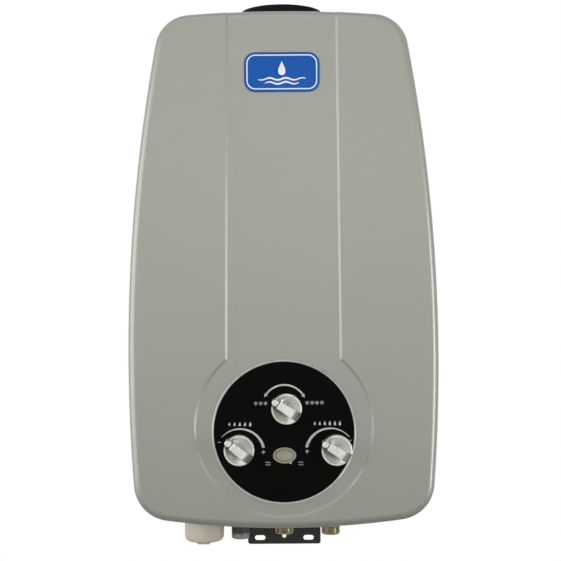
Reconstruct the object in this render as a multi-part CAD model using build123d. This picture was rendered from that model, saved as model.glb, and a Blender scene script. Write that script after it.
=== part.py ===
from build123d import *

import os
from math import cos, radians, sin, sqrt

# A wall-hung instantaneous gas water heater, in millimetres.
# +X is right as seen from the front, +Z is up and the front faces -Y. A depth is the distance
# forward from the wall, and a height is from the casing's lower edge. Every point is moved down by
# half the casing, so that the origin is on the wall behind the casing's middle.

# Shared by several pieces
overrun = 1.0
seat_gap = 0.1
running_gap = 0.06

# Casing outline and sheet
case_height = 550.0
case_width = 330.0
case_depth = 150.0
case_widest_share = 0.3245
case_top_share = 0.7794
case_top_drop = 6.8
case_bottom_share = 0.9533
case_bottom_rise = 13.3
case_top_corner_radius = 38.0
case_bottom_corner_radius = 40.0
case_edge_radius = 9.0
case_sheet = 0.8
case_wall_gap = 3.0

# Recess pressed into the cover: a band that runs down into a circle
recess_depth = 1.8
recess_slope_width = 2.6
recess_radius = 92.7
recess_rise = 4.4
recess_corner_radius = 5.5
band_top_half = 56.7
band_low_half = 59.8

# Openings of the cover
bottom_opening_left = -114.0
bottom_opening_right = 80.0
bottom_opening_reach = 43.0
bottom_opening_corner = 8.0
collar_opening_gap = 2.0

# Back plate
tray_gap = 0.6
tray_flange = 24.0
bead_inset = 47.0
bead_place_share = 0.609
bead_length_share = 0.473
bead_width = 16.0
bead_height = 3.0

# Cover screws, square to the side skirts
screw_radius = 2.0
screw_length = 8.0
screw_head_radius = 4.0
screw_head_height = 2.2
screw_slot_width = 0.9
screw_slot_depth = 1.1
screw_depth = 13.0
screw_upper_drop = 105.0
screw_lower_z = 85.0

# Wall brackets and rivets
bracket_sheet = 2.0
hanger_drop = 60.0
hanger_width = 160.0
hanger_height = 34.0
hanger_hole_spacing = 120.0
hanger_hole_radius = 3.25
hanger_rivet_x = 30.0
lower_bracket_width = 86.0
lower_bracket_top_z = 43.0
lower_bracket_bottom_z = -49.0
lower_bracket_corner = 3.0
lower_bracket_gap = 2.0
lower_slot_z = -41.7
lower_slot_spacing = 57.4
lower_slot_length = 12.4
lower_slot_radius = 3.0
lower_notch_width = 4.4
lower_notch_height = 9.0
lower_notch_rise = 4.0
lower_rivet_x = 28.0
lower_rivet_z = 25.0
rivet_radius = 2.0
rivet_head_radius = 3.6
rivet_head_height = 1.3

# Fitting shelf
shelf_sheet = 1.5
shelf_left = -68.0
shelf_right = 80.0
shelf_front_reach = 25.0
shelf_z = 7.0
shelf_flange_height = 32.0

# Burner, chamber and hood, stacked on one vertical axis
core_depth_share = 0.5
core_width_share = 0.5758
core_length_share = 0.6933
core_sheet = 0.9
burner_bottom_z = 197.0
burner_top_z = 257.0
chamber_drop = 109.0
hood_drop = 39.0
hood_top_width = 130.0
hood_top_inset = 6.0
relief_width = 110.0
relief_height = 20.0
relief_rise = 14.0
core_bracket_width = 18.0
core_bracket_height = 50.0
core_bracket_x = 62.0

# Flue collar
collar_radius = 45.0
collar_sheet = 0.8
collar_rise = 15.0

# Heat exchanger
water_tube_radius = 8.0
water_tube_wall = 1.0
tube_passes = 5
tube_pitch_share = 0.1923
tube_drop = 27.0
tube_straight_reach = 8.0
tube_end_reach = 17.0
tube_hole_gap = 0.15
fin_count = 24
fin_row_share = 0.91
fin_sheet = 0.5
fin_inset = 6.0
fin_height = 46.0

# Water pipes
pipe_side_reach = 39.0
pipe_bend = 12.0
cold_jog_low_z = 110.0
cold_jog_high_z = 160.0
hot_cross_z = 163.0
hot_forward_z = 36.0

# Union nuts and lock nuts
union_across_flats = 27.0
union_small_across_flats = 20.0
union_length = 10.0
lock_across_flats = 30.0
lock_height = 5.0

# Burner tray and blades
ledge_width = 8.0
ledge_rise = 10.0
ledge_sheet = 1.2
tab_width = 24.0
tab_reach = 26.0
blade_count = 10
blade_row_share = 0.92
blade_width = 7.0
blade_inset = 8.0
blade_height = 44.0
blade_sheet = 0.7
blade_slots = 9
blade_slot_row_share = 0.94
blade_slot_width = 3.0
blade_mouth_radius = 2.6

# Gas manifold, nozzles and feed pipes
manifold_reach = 35.0
manifold_thickness = 16.0
manifold_height = 14.0
manifold_top_z = 185.0
manifold_bore_radius = 4.0
nozzle_radius = 3.2
nozzle_spigot_radius = 2.2
nozzle_height = 6.0
nozzle_orifice_radius = 0.5
feed_radius = 6.0
feed_wall = 1.0
feed_offset = 9.0

# Season valve
season_x = 2.9
season_z = 128.4
season_valve_width = 38.0
season_valve_height = 38.0
season_back_reach = 17.0
season_front_reach = 49.0
cast_round = 3.0

# Gas valve
gas_knob_x = -47.2
gas_knob_z = 85.2
gas_valve_left = -67.0
gas_valve_right = -27.0
gas_back_reach = 23.0
gas_front_reach = 35.0
gas_valve_bottom_z = 33.0
gas_valve_top_z = 115.0
gas_passage_radius = 5.0
riser_reach = 24.0
riser_bend = 7.5
chamber_radius = 10.0
plug_length = 9.0
plug_flange = 2.0
plug_flange_radius = 12.0
solenoid_radius = 12.0
solenoid_length = 30.0
solenoid_round = 1.5
solenoid_z = 93.0
solenoid_neck_radius = 7.0
solenoid_neck = 4.0

# Water valve, split by its diaphragm
water_knob_x = 55.3
water_knob_z = 84.9
membrane_x = 38.0
membrane_z = 50.0
membrane_sheet = 1.2
membrane_flange_radius = 32.0
membrane_chamber_radius = 22.0
membrane_chamber_length = 6.0
water_cover_length = 13.5
water_flange_length = 8.0
water_valve_right = 74.0
water_back_reach = 23.0
water_front_reach = 30.0
water_valve_bottom_z = 15.0
water_valve_top_z = 107.0
outlet_boss_radius = 10.5
outlet_boss_length = 8.0
valve_screw_count = 6
valve_screw_circle = 27.0
valve_screw_turn_share = 0.5
valve_screw_radius = 1.8
valve_screw_head_radius = 3.2
valve_screw_head_height = 2.6

# Push rod between the diaphragm and the gas valve
rod_radius = 3.0
rod_plate_radius = 19.0
rod_plate_sheet = 1.8
rod_travel = 4.0
rod_end_gap = 1.9
poppet_radius = 8.0
poppet_length = 3.0
poppet_seat_x = -36.0
poppet_gap = 0.3
trip_collar_radius = 7.0
trip_collar_length = 3.0

# Microswitch and its lever
switch_left = 4.5
switch_width = 10.0
switch_bottom_z = 61.0
switch_top_z = 75.0
lever_x = 1.3
lever_pivot_z = 69.5
lever_sheet = 0.6
lever_width = 3.2
lever_length = 23.0
lever_eye_radius = 1.8
lever_pin_radius = 0.8
lever_gap = 0.3
lever_reach = 3.8

# Pipe fittings under the casing: half-inch parallel pipe thread
stub_radius = 10.4775
stub_bore = 7.0
stub_chamfer = 1.2
fitting_across_flats = 27.0
fitting_flange = 6.0
fitting_neck_radius = 10.4
shelf_hole_gap = 0.6
gas_inlet_x = -49.0
gas_inlet_end_z = -25.0
hot_outlet_x = 0.0
hot_outlet_end_z = -19.8
hot_outlet_top_z = 19.0
cold_inlet_x = 52.0
cold_inlet_end_z = -20.8
filter_radius = 6.6
filter_bore = 5.8
filter_length = 18.0
filter_slot_count = 6
filter_slot_width = 2.0
filter_slot_length = 10.0

# Igniter box, electrodes and thermostat
igniter_reach = 25.0
igniter_z = 127.0
igniter_width = 46.0
igniter_height = 52.0
igniter_thickness = 24.0
igniter_round = 2.0
electrode_rise = 22.0
electrode_x = 14.0
electrode_bracket_width = 52.0
electrode_bracket_height = 24.0
electrode_bracket_sheet = 1.5
electrode_outer_reach = 7.0
electrode_inner_reach = 8.0
electrode_tip_reach = 35.0
ceramic_radius = 3.5
ceramic_collar_radius = 5.0
ceramic_collar_length = 3.0
electrode_wire_radius = 0.9
thermostat_radius = 9.0
thermostat_height = 6.0
thermostat_tag_width = 5.0
thermostat_tag_sheet = 0.8
thermostat_tag_length = 7.0
thermostat_tag_offset = 4.0

# Battery tube, cap and cells
battery_x = -89.7
battery_depth_share = 0.5
battery_tube_radius = 20.2
battery_tube_bore = 17.6
battery_tube_top_z = 112.0
battery_tube_bottom_z = -22.0
battery_tube_lid = 2.0
battery_web = 9.0
battery_foot_width = 40.0
battery_foot_height = 60.0
battery_foot_z = 65.0
battery_foot_sheet = 2.4
cell_count = 2
cell_radius = 16.6
cell_length = 60.0
cell_nub_radius = 4.8
cell_nub_height = 1.3
cell_bottom_z = -19.0
cap_radius = 21.6
cap_bore_gap = 0.3
cap_top_z = -1.0
cap_bottom_z = -26.8
cap_floor = 3.0
cap_edge_round = 4.0
cap_nub_width = 15.0
cap_nub_length = 30.0
cap_nub_height = 2.6
cap_nub_round = 2.0
peg_radius = 1.5
peg_z = -10.0
peg_gap = 0.25
peg_turn = 60.0
peg_slack_turn = 2.0
contact_radius = 11.0
contact_sheet = 0.6
contact_dome_radius = 5.0

# Control panel and bezel
panel_z = 103.2
panel_radius = 74.0
panel_thickness = 2.6
panel_edge_round = 0.8
panel_spigot_radius = 65.0
panel_spigot_length = 3.0
panel_gap = 0.3
bezel_width = 2.0
bezel_height = 3.0
bezel_round = 0.6
spindle_hole_gap = 0.8

# Display: an oval window in a raised frame
display_x = 0.5
display_z = 78.6
display_width = 24.5
display_height = 16.7
display_rim = 3.1
display_rim_lift = 1.0
display_ledge = 1.2
display_gap = 0.15
window_sink = 0.4
window_thickness = 1.6
module_width = 36.0
module_height = 26.0
module_thickness = 8.0

# Knobs and spindles
season_pointer_angle = 147.0
gas_pointer_angle = 142.0
water_pointer_angle = 148.0
knob_radius = 16.0
knob_skirt_height = 10.0
knob_height = 20.0
knob_lift = 1.4
knob_lip = 1.8
knob_lip_round = 0.8
knob_dish_depth = 5.5
knob_floor = 2.6
knob_bar_start = 10.0
knob_bar_near_half = 4.2
knob_bar_far_half = 5.2
knob_bar_round = 0.8
knob_slope_start = 8.0
knob_nub_radius = 3.5
knob_nub_offset = 14.2
knob_nub_bottom = 3.0
knob_nub_drop = 0.8
spindle_radius = 4.0
spindle_flat = 2.8
spindle_grip = 12.0
spindle_insert = 20.0
spindle_shoulder_radius = 6.0
spindle_shoulder_length = 3.0
spindle_fit_gap = 0.05

# Plate near the top of the cover
badge_drop = 66.4
badge_width = 80.0
badge_height = 42.0
badge_corner = 12.0
badge_thickness = 1.6
badge_edge_round = 0.6

# Wiring leads
lead_radius = 1.4
lead_core_radius = 0.7
lead_pitch = 4.2
lead_bend = 7.0
lead_front_reach = 16.0
lead_side_reach = 13.0
lead_low_z = 145.0

BASE = (Align.CENTER, Align.CENTER, Align.MIN)

case_widest_z = case_height * case_widest_share
bead_z = case_height * bead_place_share
bead_length = case_height * bead_length_share
screw_upper_z = case_height - screw_upper_drop
hanger_z = case_height - hanger_drop
chamber_top_z = case_height - chamber_drop
hood_top_z = case_height - hood_drop
collar_top_z = case_height + collar_rise
badge_z = case_height - badge_drop
tube_z = chamber_top_z - tube_drop
electrode_z = burner_top_z + electrode_rise
case_top_half = case_width / 2 * case_top_share
case_bottom_half = case_width / 2 * case_bottom_share
bead_x = case_width / 2 - bead_inset
core_width = case_width * core_width_share
core_half = core_width / 2
tube_straight_half = core_half + tube_straight_reach
tube_end_x = core_half + tube_end_reach
pipe_side_x = core_half + pipe_side_reach
igniter_x = core_half + igniter_reach
lead_side_x = core_half + lead_side_reach
fin_pitch = core_width * fin_row_share / fin_count
blade_pitch = core_width * blade_row_share / blade_count
core_depth = case_depth * core_depth_share
core_length = case_depth * core_length_share
core_back = core_depth - core_length / 2
core_front = core_depth + core_length / 2
hood_top_length = core_length - hood_top_inset
tube_pitch = core_length * tube_pitch_share
fin_length = core_length - fin_inset
blade_length = core_length - blade_inset
blade_slot_pitch = blade_length * blade_slot_row_share / blade_slots
manifold_depth = core_depth + manifold_reach
season_valve_back = core_depth + season_back_reach
season_valve_front = core_depth + season_front_reach
gas_valve_back = core_depth - gas_back_reach
gas_valve_front = core_depth + gas_front_reach
riser_depth = core_depth + riser_reach
water_valve_back = core_depth - water_back_reach
water_valve_front = core_depth + water_front_reach
lever_back_depth = core_depth + lever_reach
electrode_outer_depth = core_front + electrode_outer_reach
electrode_inner_depth = core_front - electrode_inner_reach
electrode_tip_depth = core_front - electrode_tip_reach
lead_front_depth = core_front + lead_front_reach
battery_depth = case_depth * battery_depth_share
shelf_front_depth = core_depth + shelf_front_reach
bottom_opening_depth = core_depth + bottom_opening_reach
core_bracket_z = (burner_top_z + chamber_top_z) / 2
thermostat_z = core_bracket_z
recess_floor_depth = case_depth - recess_depth
manifold_bottom_z = manifold_top_z - manifold_height
manifold_back = manifold_depth - manifold_thickness / 2
manifold_front = manifold_depth + manifold_thickness / 2
season_valve_top_z = season_z + season_valve_height / 2
season_valve_left = season_x - season_valve_width / 2
membrane_left_x = membrane_x - membrane_sheet / 2
membrane_right_x = membrane_x + membrane_sheet / 2
water_cover_left = membrane_left_x - water_cover_length
shelf_top_z = shelf_z + shelf_sheet
panel_face_depth = recess_floor_depth + panel_thickness
knob_base_depth = panel_face_depth + knob_lift
tube_bore = water_tube_radius - water_tube_wall
first_pass_depth = core_depth + tube_pitch * (tube_passes - 1) / 2
last_pass_depth = core_depth - tube_pitch * (tube_passes - 1) / 2
bracket_front = case_sheet + bracket_sheet
cap_floor_z = cap_bottom_z + cap_floor


def point(x, depth, z):
    """Point from an x, a depth from the wall and a height above the casing's lower edge."""
    return (x, -depth, z - case_height / 2)


def at_depth(depth, x=0, z=0):
    """Plane that faces the front at a depth from the wall."""
    return Plane(origin=point(x, depth, z), x_dir=(1, 0, 0), z_dir=(0, -1, 0))


def slab(sketch, back, front):
    """Front-view sketch drawn out from one depth to another."""
    return extrude(at_depth(back) * sketch, amount=front - back)


def block(left, right, back, front, bottom, top):
    """Box between two x values, two depths and two heights."""
    centre = point((left + right) / 2, (back + front) / 2, (bottom + top) / 2)
    return Pos(*centre) * Box(right - left, front - back, top - bottom)


def rod(radius, start, end):
    """Round bar between two points."""
    run = Vector(*end) - Vector(*start)
    return extrude(Plane(origin=start, z_dir=run) * Circle(radius), amount=run.length)


def post(radius, x, depth, bottom, top):
    """Upright round bar."""
    return rod(radius, point(x, depth, bottom), point(x, depth, top))


def pin(radius, x, z, back, front):
    """Round bar along the depth."""
    return rod(radius, point(x, back, z), point(x, front, z))


def bar(radius, depth, z, left, right):
    """Round bar along X."""
    return rod(radius, point(left, depth, z), point(right, depth, z))


def hexagon(across_flats, height):
    """Upright hexagonal prism that stands on the origin."""
    return extrude(RegularPolygon(across_flats / 2, 6, major_radius=False), amount=height)


def pipe(points, radius, bore, bend):
    """Tube along straight runs joined by arcs."""
    path = FilletPolyline(*points, radius=bend)
    ring = Circle(radius) - Circle(bore)
    return sweep(Plane(origin=path @ 0, z_dir=path % 0) * ring, path=path)


def rounded_block(left, right, back, front, bottom, top):
    """Cast block with all its edges rounded."""
    body = block(left, right, back, front, bottom, top)
    return fillet(body.edges(), radius=cast_round)


def side_arc():
    """Right-hand side of the casing outline, in front view."""
    top = (case_top_half, case_height - case_top_drop)
    low = (case_bottom_half, case_bottom_rise)
    return ThreePointArc(top, (case_width / 2, case_widest_z), low)


def crown_radius(half, rise):
    """Radius of a shallow arc from half its span and its rise."""
    return (half ** 2 + rise ** 2) / (rise * 2)


def casing_outline(inset):
    """Front view of the casing, drawn in by an inset: four shallow arcs with rounded corners."""
    top_radius = crown_radius(case_top_half, case_top_drop)
    low_radius = crown_radius(case_bottom_half, case_bottom_rise)
    side = side_arc()
    face = Pos(0, case_height - top_radius) * Circle(top_radius - inset)
    face &= Pos(0, low_radius) * Circle(low_radius - inset)
    for turn, x in ((180, side.arc_center.X), (0, -side.arc_center.X)):
        face &= Location((x, side.arc_center.Y), turn) * Circle(side.radius - inset)
    face = fillet(face.vertices().group_by(Axis.Y)[-1], radius=case_top_corner_radius - inset)
    return fillet(face.vertices().group_by(Axis.Y)[0], radius=case_bottom_corner_radius - inset)


def keyhole(grow):
    """Front view of the recess: a band from above the crown that runs into a circle."""
    top_half = band_top_half + grow
    low_half = band_low_half + grow
    top = case_height + overrun
    corners = [(-top_half, top), (-low_half, panel_z), (low_half, panel_z), (top_half, top)]
    circle = Pos(0, panel_z + recess_rise) * Circle(recess_radius + grow)
    outline = Polygon(*corners, align=None) + circle
    meeting = outline.vertices().sort_by(Axis.Y)[-4:-2]
    return fillet(meeting, radius=recess_corner_radius - grow)


def rounded_prism(sketch, back, front, radius):
    """Front-view sketch drawn out, with its front edge rounded."""
    body = slab(sketch, back, front)
    return fillet(body.faces().sort_by(Axis.Y)[0].edges(), radius=radius)


def casing_form(inset, back):
    """Solid outer form of the casing with its recess, drawn in by an inset."""
    front = case_depth - inset
    floor = front - recess_depth
    radius = case_edge_radius - inset
    raised = rounded_prism(casing_outline(inset), back, front, radius)
    sunk = rounded_prism(casing_outline(inset), back, floor, radius)
    flare = recess_slope_width * (recess_depth + overrun) / recess_depth
    step = loft(
        [at_depth(floor) * keyhole(inset), at_depth(front + overrun) * keyhole(inset + flare)],
        ruled=True,
    )
    well = slab(keyhole(inset), floor - radius, front + overrun) - sunk
    return raised - step - well


def screw_axis(side, z):
    """Point on the casing's side at a height, and the outward direction there."""
    arc = side_arc()
    middle = arc.arc_center
    x = middle.X + sqrt(arc.radius ** 2 - (z - middle.Y) ** 2)
    outward = Vector(side * (x - middle.X), 0, z - middle.Y).normalized()
    return Vector(*point(side * x, screw_depth, z)), outward


def screw_places():
    """Every cover screw's point and direction."""
    return [screw_axis(side, z) for side in (-1, 1) for z in (screw_upper_z, screw_lower_z)]


def screw_holes(radius):
    """Bars that cut the cover screws' holes."""
    return [
        rod(radius, tuple(at - outward * screw_length), tuple(at + outward * screw_length))
        for at, outward in screw_places()
    ]


def front_cover():
    """Painted shell with its recess, panel opening, collar slot and bottom opening."""
    shell = casing_form(0, case_wall_gap) - casing_form(case_sheet, case_wall_gap - overrun)
    opening = Pos(0, panel_z) * Circle(panel_spigot_radius + panel_gap)
    shell -= slab(opening, core_depth, case_depth + overrun)
    slot_radius = collar_radius + collar_opening_gap
    slot_bottom = case_height - case_top_corner_radius
    slot = post(slot_radius, 0, core_depth, slot_bottom, case_height + overrun)
    slot += block(-slot_radius, slot_radius, 0, core_depth, slot_bottom, case_height + overrun)
    shell -= slot
    high = case_bottom_corner_radius
    opening = block(
        bottom_opening_left, bottom_opening_right, 0, bottom_opening_depth, -overrun, high
    )
    shell -= fillet(opening.edges().filter_by(Axis.Z), radius=bottom_opening_corner)
    for hole in screw_holes(screw_radius + seat_gap):
        shell -= hole
    return shell


def back_plate():
    """Tray with a flange inside the cover's skirt, two pressed beads and the bracket holes."""
    inset = case_sheet + tray_gap
    tray = slab(casing_outline(inset), 0, tray_flange)
    tray -= slab(casing_outline(inset + case_sheet), case_sheet, tray_flange + overrun)
    for x in (-bead_x, bead_x):
        bead = Pos(x, bead_z) * SlotOverall(bead_length, bead_width, rotation=90)
        groove = Pos(x, bead_z) * SlotOverall(
            bead_length - case_sheet * 2, bead_width - case_sheet * 2, rotation=90
        )
        tray += slab(bead, 0, bead_height + case_sheet)
        tray -= slab(groove, -overrun, bead_height)
    notch_half = lower_bracket_width / 2 + lower_bracket_gap
    notch_front = tray_flange + overrun
    tray -= block(-notch_half, notch_half, case_sheet, notch_front, -overrun, lower_bracket_top_z)
    for hole in hanger_holes() + rivet_holes() + screw_holes(screw_radius + seat_gap):
        tray -= hole
    return tray


def hanger_holes():
    """Bars that cut the two hanging holes."""
    half = hanger_hole_spacing / 2
    front = bracket_front + overrun
    return [pin(hanger_hole_radius, x, hanger_z, -overrun, front) for x in (-half, half)]


def rivet_places():
    """Every rivet's x, height and grip from the wall side."""
    lower_grip = bracket_front + shelf_sheet
    upper = [(x, hanger_z, bracket_front) for x in (-hanger_rivet_x, hanger_rivet_x)]
    lower = [(x, lower_rivet_z, lower_grip) for x in (-lower_rivet_x, lower_rivet_x)]
    return upper + lower


def rivet_holes():
    """Bars that cut the rivets' holes."""
    radius = rivet_radius + seat_gap
    return [pin(radius, x, z, -overrun, grip + overrun) for x, z, grip in rivet_places()]


def bracket_rivets():
    """Rivets of both wall brackets, flush on the wall side."""
    return [
        pin(rivet_radius, x, z, 0, grip)
        + pin(rivet_head_radius, x, z, grip, grip + rivet_head_height)
        for x, z, grip in rivet_places()
    ]


def cover_screws():
    """Slotted screws that hold the cover to the tray."""
    screws = []
    for at, outward in screw_places():
        seat = at + outward * seat_gap
        top = seat + outward * screw_head_height
        screw = rod(screw_radius, tuple(at - outward * screw_length), tuple(seat))
        screw += rod(screw_head_radius, tuple(seat), tuple(top))
        slot = Box(screw_head_radius * 3, screw_slot_width, screw_slot_depth * 2)
        screws.append(screw - Plane(origin=top, x_dir=(0, 1, 0), z_dir=outward) * slot)
    return screws


def hanger_bracket():
    """Strip inside the tray that carries the heater on two wall screws."""
    low = hanger_z - hanger_height / 2
    high = hanger_z + hanger_height / 2
    half = hanger_width / 2
    strip = block(-half, half, case_sheet, bracket_front, low, high)
    for hole in hanger_holes() + rivet_holes():
        strip -= hole
    return strip


def lower_bracket():
    """Plate that reaches below the casing, with two slots and a notch."""
    half = lower_bracket_width / 2
    plate = block(
        -half, half, case_sheet, bracket_front, lower_bracket_bottom_z, lower_bracket_top_z
    )
    plate = fillet(plate.edges().filter_by(Axis.Y), radius=lower_bracket_corner)
    for x in (-lower_slot_spacing / 2, lower_slot_spacing / 2):
        slot = Pos(x, lower_slot_z) * SlotOverall(lower_slot_length, lower_slot_radius * 2)
        plate -= slab(slot, 0, bracket_front + overrun)
    notch = SlotOverall(lower_notch_height, lower_notch_width, rotation=90)
    plate -= slab(Pos(0, lower_slot_z + lower_notch_rise) * notch, 0, bracket_front + overrun)
    for hole in rivet_holes():
        plate -= hole
    return plate


def fitting_shelf():
    """Angle shelf that holds the three pipe fittings."""
    half = lower_bracket_width / 2
    shelf = block(shelf_left, shelf_right, bracket_front, shelf_front_depth, shelf_z, shelf_top_z)
    shelf += block(
        -half, half, bracket_front, bracket_front + shelf_sheet, shelf_z, shelf_z + shelf_flange_height
    )
    for x in (gas_inlet_x, hot_outlet_x, cold_inlet_x):
        radius = fitting_neck_radius + shelf_hole_gap
        shelf -= post(radius, x, core_depth, shelf_z - overrun, shelf_top_z + overrun)
    for hole in rivet_holes():
        shelf -= hole
    return shelf


def flue_collar():
    """Round sheet collar that stands on the hood."""
    outer = post(collar_radius, 0, core_depth, hood_top_z, collar_top_z)
    bore = collar_radius - collar_sheet
    return outer - post(bore, 0, core_depth, hood_top_z - overrun, collar_top_z + overrun)


def draft_hood():
    """Tapered hood between the exchanger and the collar, with a relief opening in front."""
    foot = Plane(origin=point(0, core_depth, chamber_top_z))
    roof = Plane(origin=point(0, core_depth, hood_top_z))
    inner_foot = Rectangle(core_width - core_sheet * 2, core_length - core_sheet * 2)
    inner_roof = Rectangle(hood_top_width - core_sheet * 2, hood_top_length - core_sheet * 2)
    shell = loft(
        [foot * Rectangle(core_width, core_length), roof * Rectangle(hood_top_width, hood_top_length)]
    )
    shell -= loft([foot * inner_foot, roof.offset(-core_sheet) * inner_roof])
    bore = collar_radius - collar_sheet
    shell -= post(bore, 0, core_depth, hood_top_z - core_sheet * 2, hood_top_z + overrun)
    low = chamber_top_z + relief_rise
    half = relief_width / 2
    return shell - block(-half, half, core_depth, core_front + overrun, low, low + relief_height)


def pass_depths():
    """Depth of each straight pass of the exchanger tube, front to back."""
    return [first_pass_depth - tube_pitch * index for index in range(tube_passes)]


def combustion_chamber():
    """Open sheet box that burns the gas and carries the exchanger tube in its sides."""
    wall = core_sheet
    chamber = block(-core_half, core_half, core_back, core_front, burner_top_z, chamber_top_z)
    chamber -= block(
        wall - core_half,
        core_half - wall,
        core_back + wall,
        core_front - wall,
        burner_top_z - overrun,
        chamber_top_z + overrun,
    )
    for depth in pass_depths():
        reach = core_half + overrun
        chamber -= bar(water_tube_radius + tube_hole_gap, depth, tube_z, -reach, reach)
    for x in (-electrode_x, electrode_x):
        chamber -= pin(ceramic_radius + seat_gap, x, electrode_z, core_depth, core_front + overrun)
    return chamber


def core_brackets():
    """Channels that hold the chamber off the back plate."""
    brackets = []
    for x in (-core_bracket_x, core_bracket_x):
        left = x - core_bracket_width / 2
        right = x + core_bracket_width / 2
        low = core_bracket_z - core_bracket_height / 2
        high = core_bracket_z + core_bracket_height / 2
        body = block(left, right, case_sheet, core_back, low, high)
        brackets.append(
            body
            - block(
                left + bracket_sheet,
                right + overrun,
                case_sheet + bracket_sheet,
                core_back - bracket_sheet,
                low - overrun,
                high + overrun,
            )
        )
    return brackets


def exchanger_fins():
    """Row of thin plates on the exchanger tube."""
    outline = Rectangle(fin_length, fin_height)
    for index in range(tube_passes):
        place = tube_pitch * (index - (tube_passes - 1) / 2)
        outline -= Pos(place, 0) * Circle(water_tube_radius + tube_hole_gap)
    plane = Plane(origin=point(0, core_depth, tube_z), x_dir=(0, 1, 0), z_dir=(1, 0, 0))
    fin = extrude(plane * outline, amount=fin_sheet / 2, both=True)
    return [Pos(fin_pitch * (index - (fin_count - 1) / 2), 0, 0) * fin for index in range(fin_count)]


def exchanger_tube():
    """Flat serpentine from the cold side on the right to the hot side on the left."""
    bend = tube_pitch / 2
    depths = pass_depths()
    edges = []
    side = 1
    start = tube_end_x
    for index, depth in enumerate(depths):
        last = index == tube_passes - 1
        end = -side * (tube_end_x if last else tube_straight_half)
        edges.append(Line(point(start, depth, tube_z), point(end, depth, tube_z)))
        if not last:
            middle = point(end - side * bend, depth - bend, tube_z)
            after = point(end, depth - tube_pitch, tube_z)
            edges.append(ThreePointArc(point(end, depth, tube_z), middle, after))
        start = end
        side = -side
    path = Wire(edges)
    ring = Circle(water_tube_radius) - Circle(tube_bore)
    return sweep(Plane(origin=path @ 0, z_dir=path % 0) * ring, path=path)


def cold_feed_pipe():
    """Pipe from the water valve up the right side to the exchanger."""
    start = water_valve_right + outlet_boss_length
    route = [
        point(start, core_depth, membrane_z),
        point(pipe_side_x, core_depth, membrane_z),
        point(pipe_side_x, core_depth, cold_jog_low_z),
        point(pipe_side_x, first_pass_depth, cold_jog_high_z),
        point(pipe_side_x, first_pass_depth, tube_z),
        point(tube_end_x, first_pass_depth, tube_z),
    ]
    return pipe(route, water_tube_radius, tube_bore, pipe_bend)


def hot_outlet_pipe():
    """Pipe from the exchanger down the left side and behind the valves to the hot outlet."""
    route = [
        point(-tube_end_x, last_pass_depth, tube_z),
        point(-pipe_side_x, last_pass_depth, tube_z),
        point(-pipe_side_x, last_pass_depth, hot_cross_z),
        point(hot_outlet_x, last_pass_depth, hot_cross_z),
        point(hot_outlet_x, last_pass_depth, hot_forward_z),
        point(hot_outlet_x, core_depth, hot_forward_z),
        point(hot_outlet_x, core_depth, hot_outlet_top_z),
    ]
    return pipe(route, water_tube_radius, tube_bore, pipe_bend)


def union_nut(across_flats, seat_radius):
    """Union nut on +Z, seated over a boss below its middle and over a pipe above it."""
    half = union_length / 2
    nut = Pos(0, 0, -half) * hexagon(across_flats, union_length)
    nut -= Cylinder(water_tube_radius + seat_gap, union_length * 2)
    boss = Cylinder(seat_radius + seat_gap, union_length, align=BASE)
    return nut - Pos(0, 0, -union_length) * boss


def union_nuts():
    """Nuts on the four pipe joints."""
    right = (1, 0, 0)
    boss_end = point(water_valve_right + outlet_boss_length, core_depth, membrane_z)
    hot_end = point(hot_outlet_x, core_depth, hot_outlet_top_z)
    cold_joint = point(tube_end_x, first_pass_depth, tube_z)
    hot_joint = point(-tube_end_x, last_pass_depth, tube_z)
    small_nut = union_nut(union_small_across_flats, water_tube_radius)
    return [
        Plane(origin=boss_end, z_dir=right) * union_nut(union_across_flats, outlet_boss_radius),
        Plane(origin=hot_end) * union_nut(union_across_flats, fitting_neck_radius),
        Plane(origin=cold_joint, z_dir=right) * small_nut,
        Plane(origin=hot_joint, z_dir=right) * small_nut,
    ]


def burner_tray():
    """Frame under the chamber with a ledge for the blades and tabs for the manifold."""
    wall = core_sheet
    tray = block(-core_half, core_half, core_back, core_front, burner_bottom_z, burner_top_z)
    tray -= block(
        wall - core_half,
        core_half - wall,
        core_back + wall,
        core_front - wall,
        burner_bottom_z - overrun,
        burner_top_z + overrun,
    )
    low = burner_bottom_z + ledge_rise
    for back in (core_back + wall, core_front - wall - ledge_width):
        front = back + ledge_width
        tray += block(wall - core_half, core_half - wall, back, front, low, low + ledge_sheet)
    for left in (-core_half, core_half - wall):
        tray += block(
            left,
            left + wall,
            manifold_depth - tab_width / 2,
            manifold_depth + tab_width / 2,
            burner_bottom_z - tab_reach,
            burner_bottom_z + ledge_rise,
        )
    return tray


def blade_places():
    """X of each burner blade."""
    return [blade_pitch * (index - (blade_count - 1) / 2) for index in range(blade_count)]


def burner_blades():
    """Hollow blades with a row of flame slots and a mouth over each nozzle."""
    low = burner_bottom_z + ledge_rise + ledge_sheet
    high = low + blade_height
    half = blade_width / 2
    back = core_depth - blade_length / 2
    front = core_depth + blade_length / 2
    wall = blade_sheet
    blade = block(-half, half, back, front, low, high)
    blade -= block(wall - half, half - wall, back + wall, front - wall, low + wall, high - wall)
    for index in range(blade_slots):
        middle = core_depth + blade_slot_pitch * (index - (blade_slots - 1) / 2)
        slot_back = middle - blade_slot_width / 2
        slot_front = middle + blade_slot_width / 2
        blade -= block(wall - half, half - wall, slot_back, slot_front, high - wall * 2, high + overrun)
    blade -= post(blade_mouth_radius, 0, manifold_depth, low - overrun, low + wall * 2)
    return [Pos(x, 0, 0) * blade for x in blade_places()]


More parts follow.
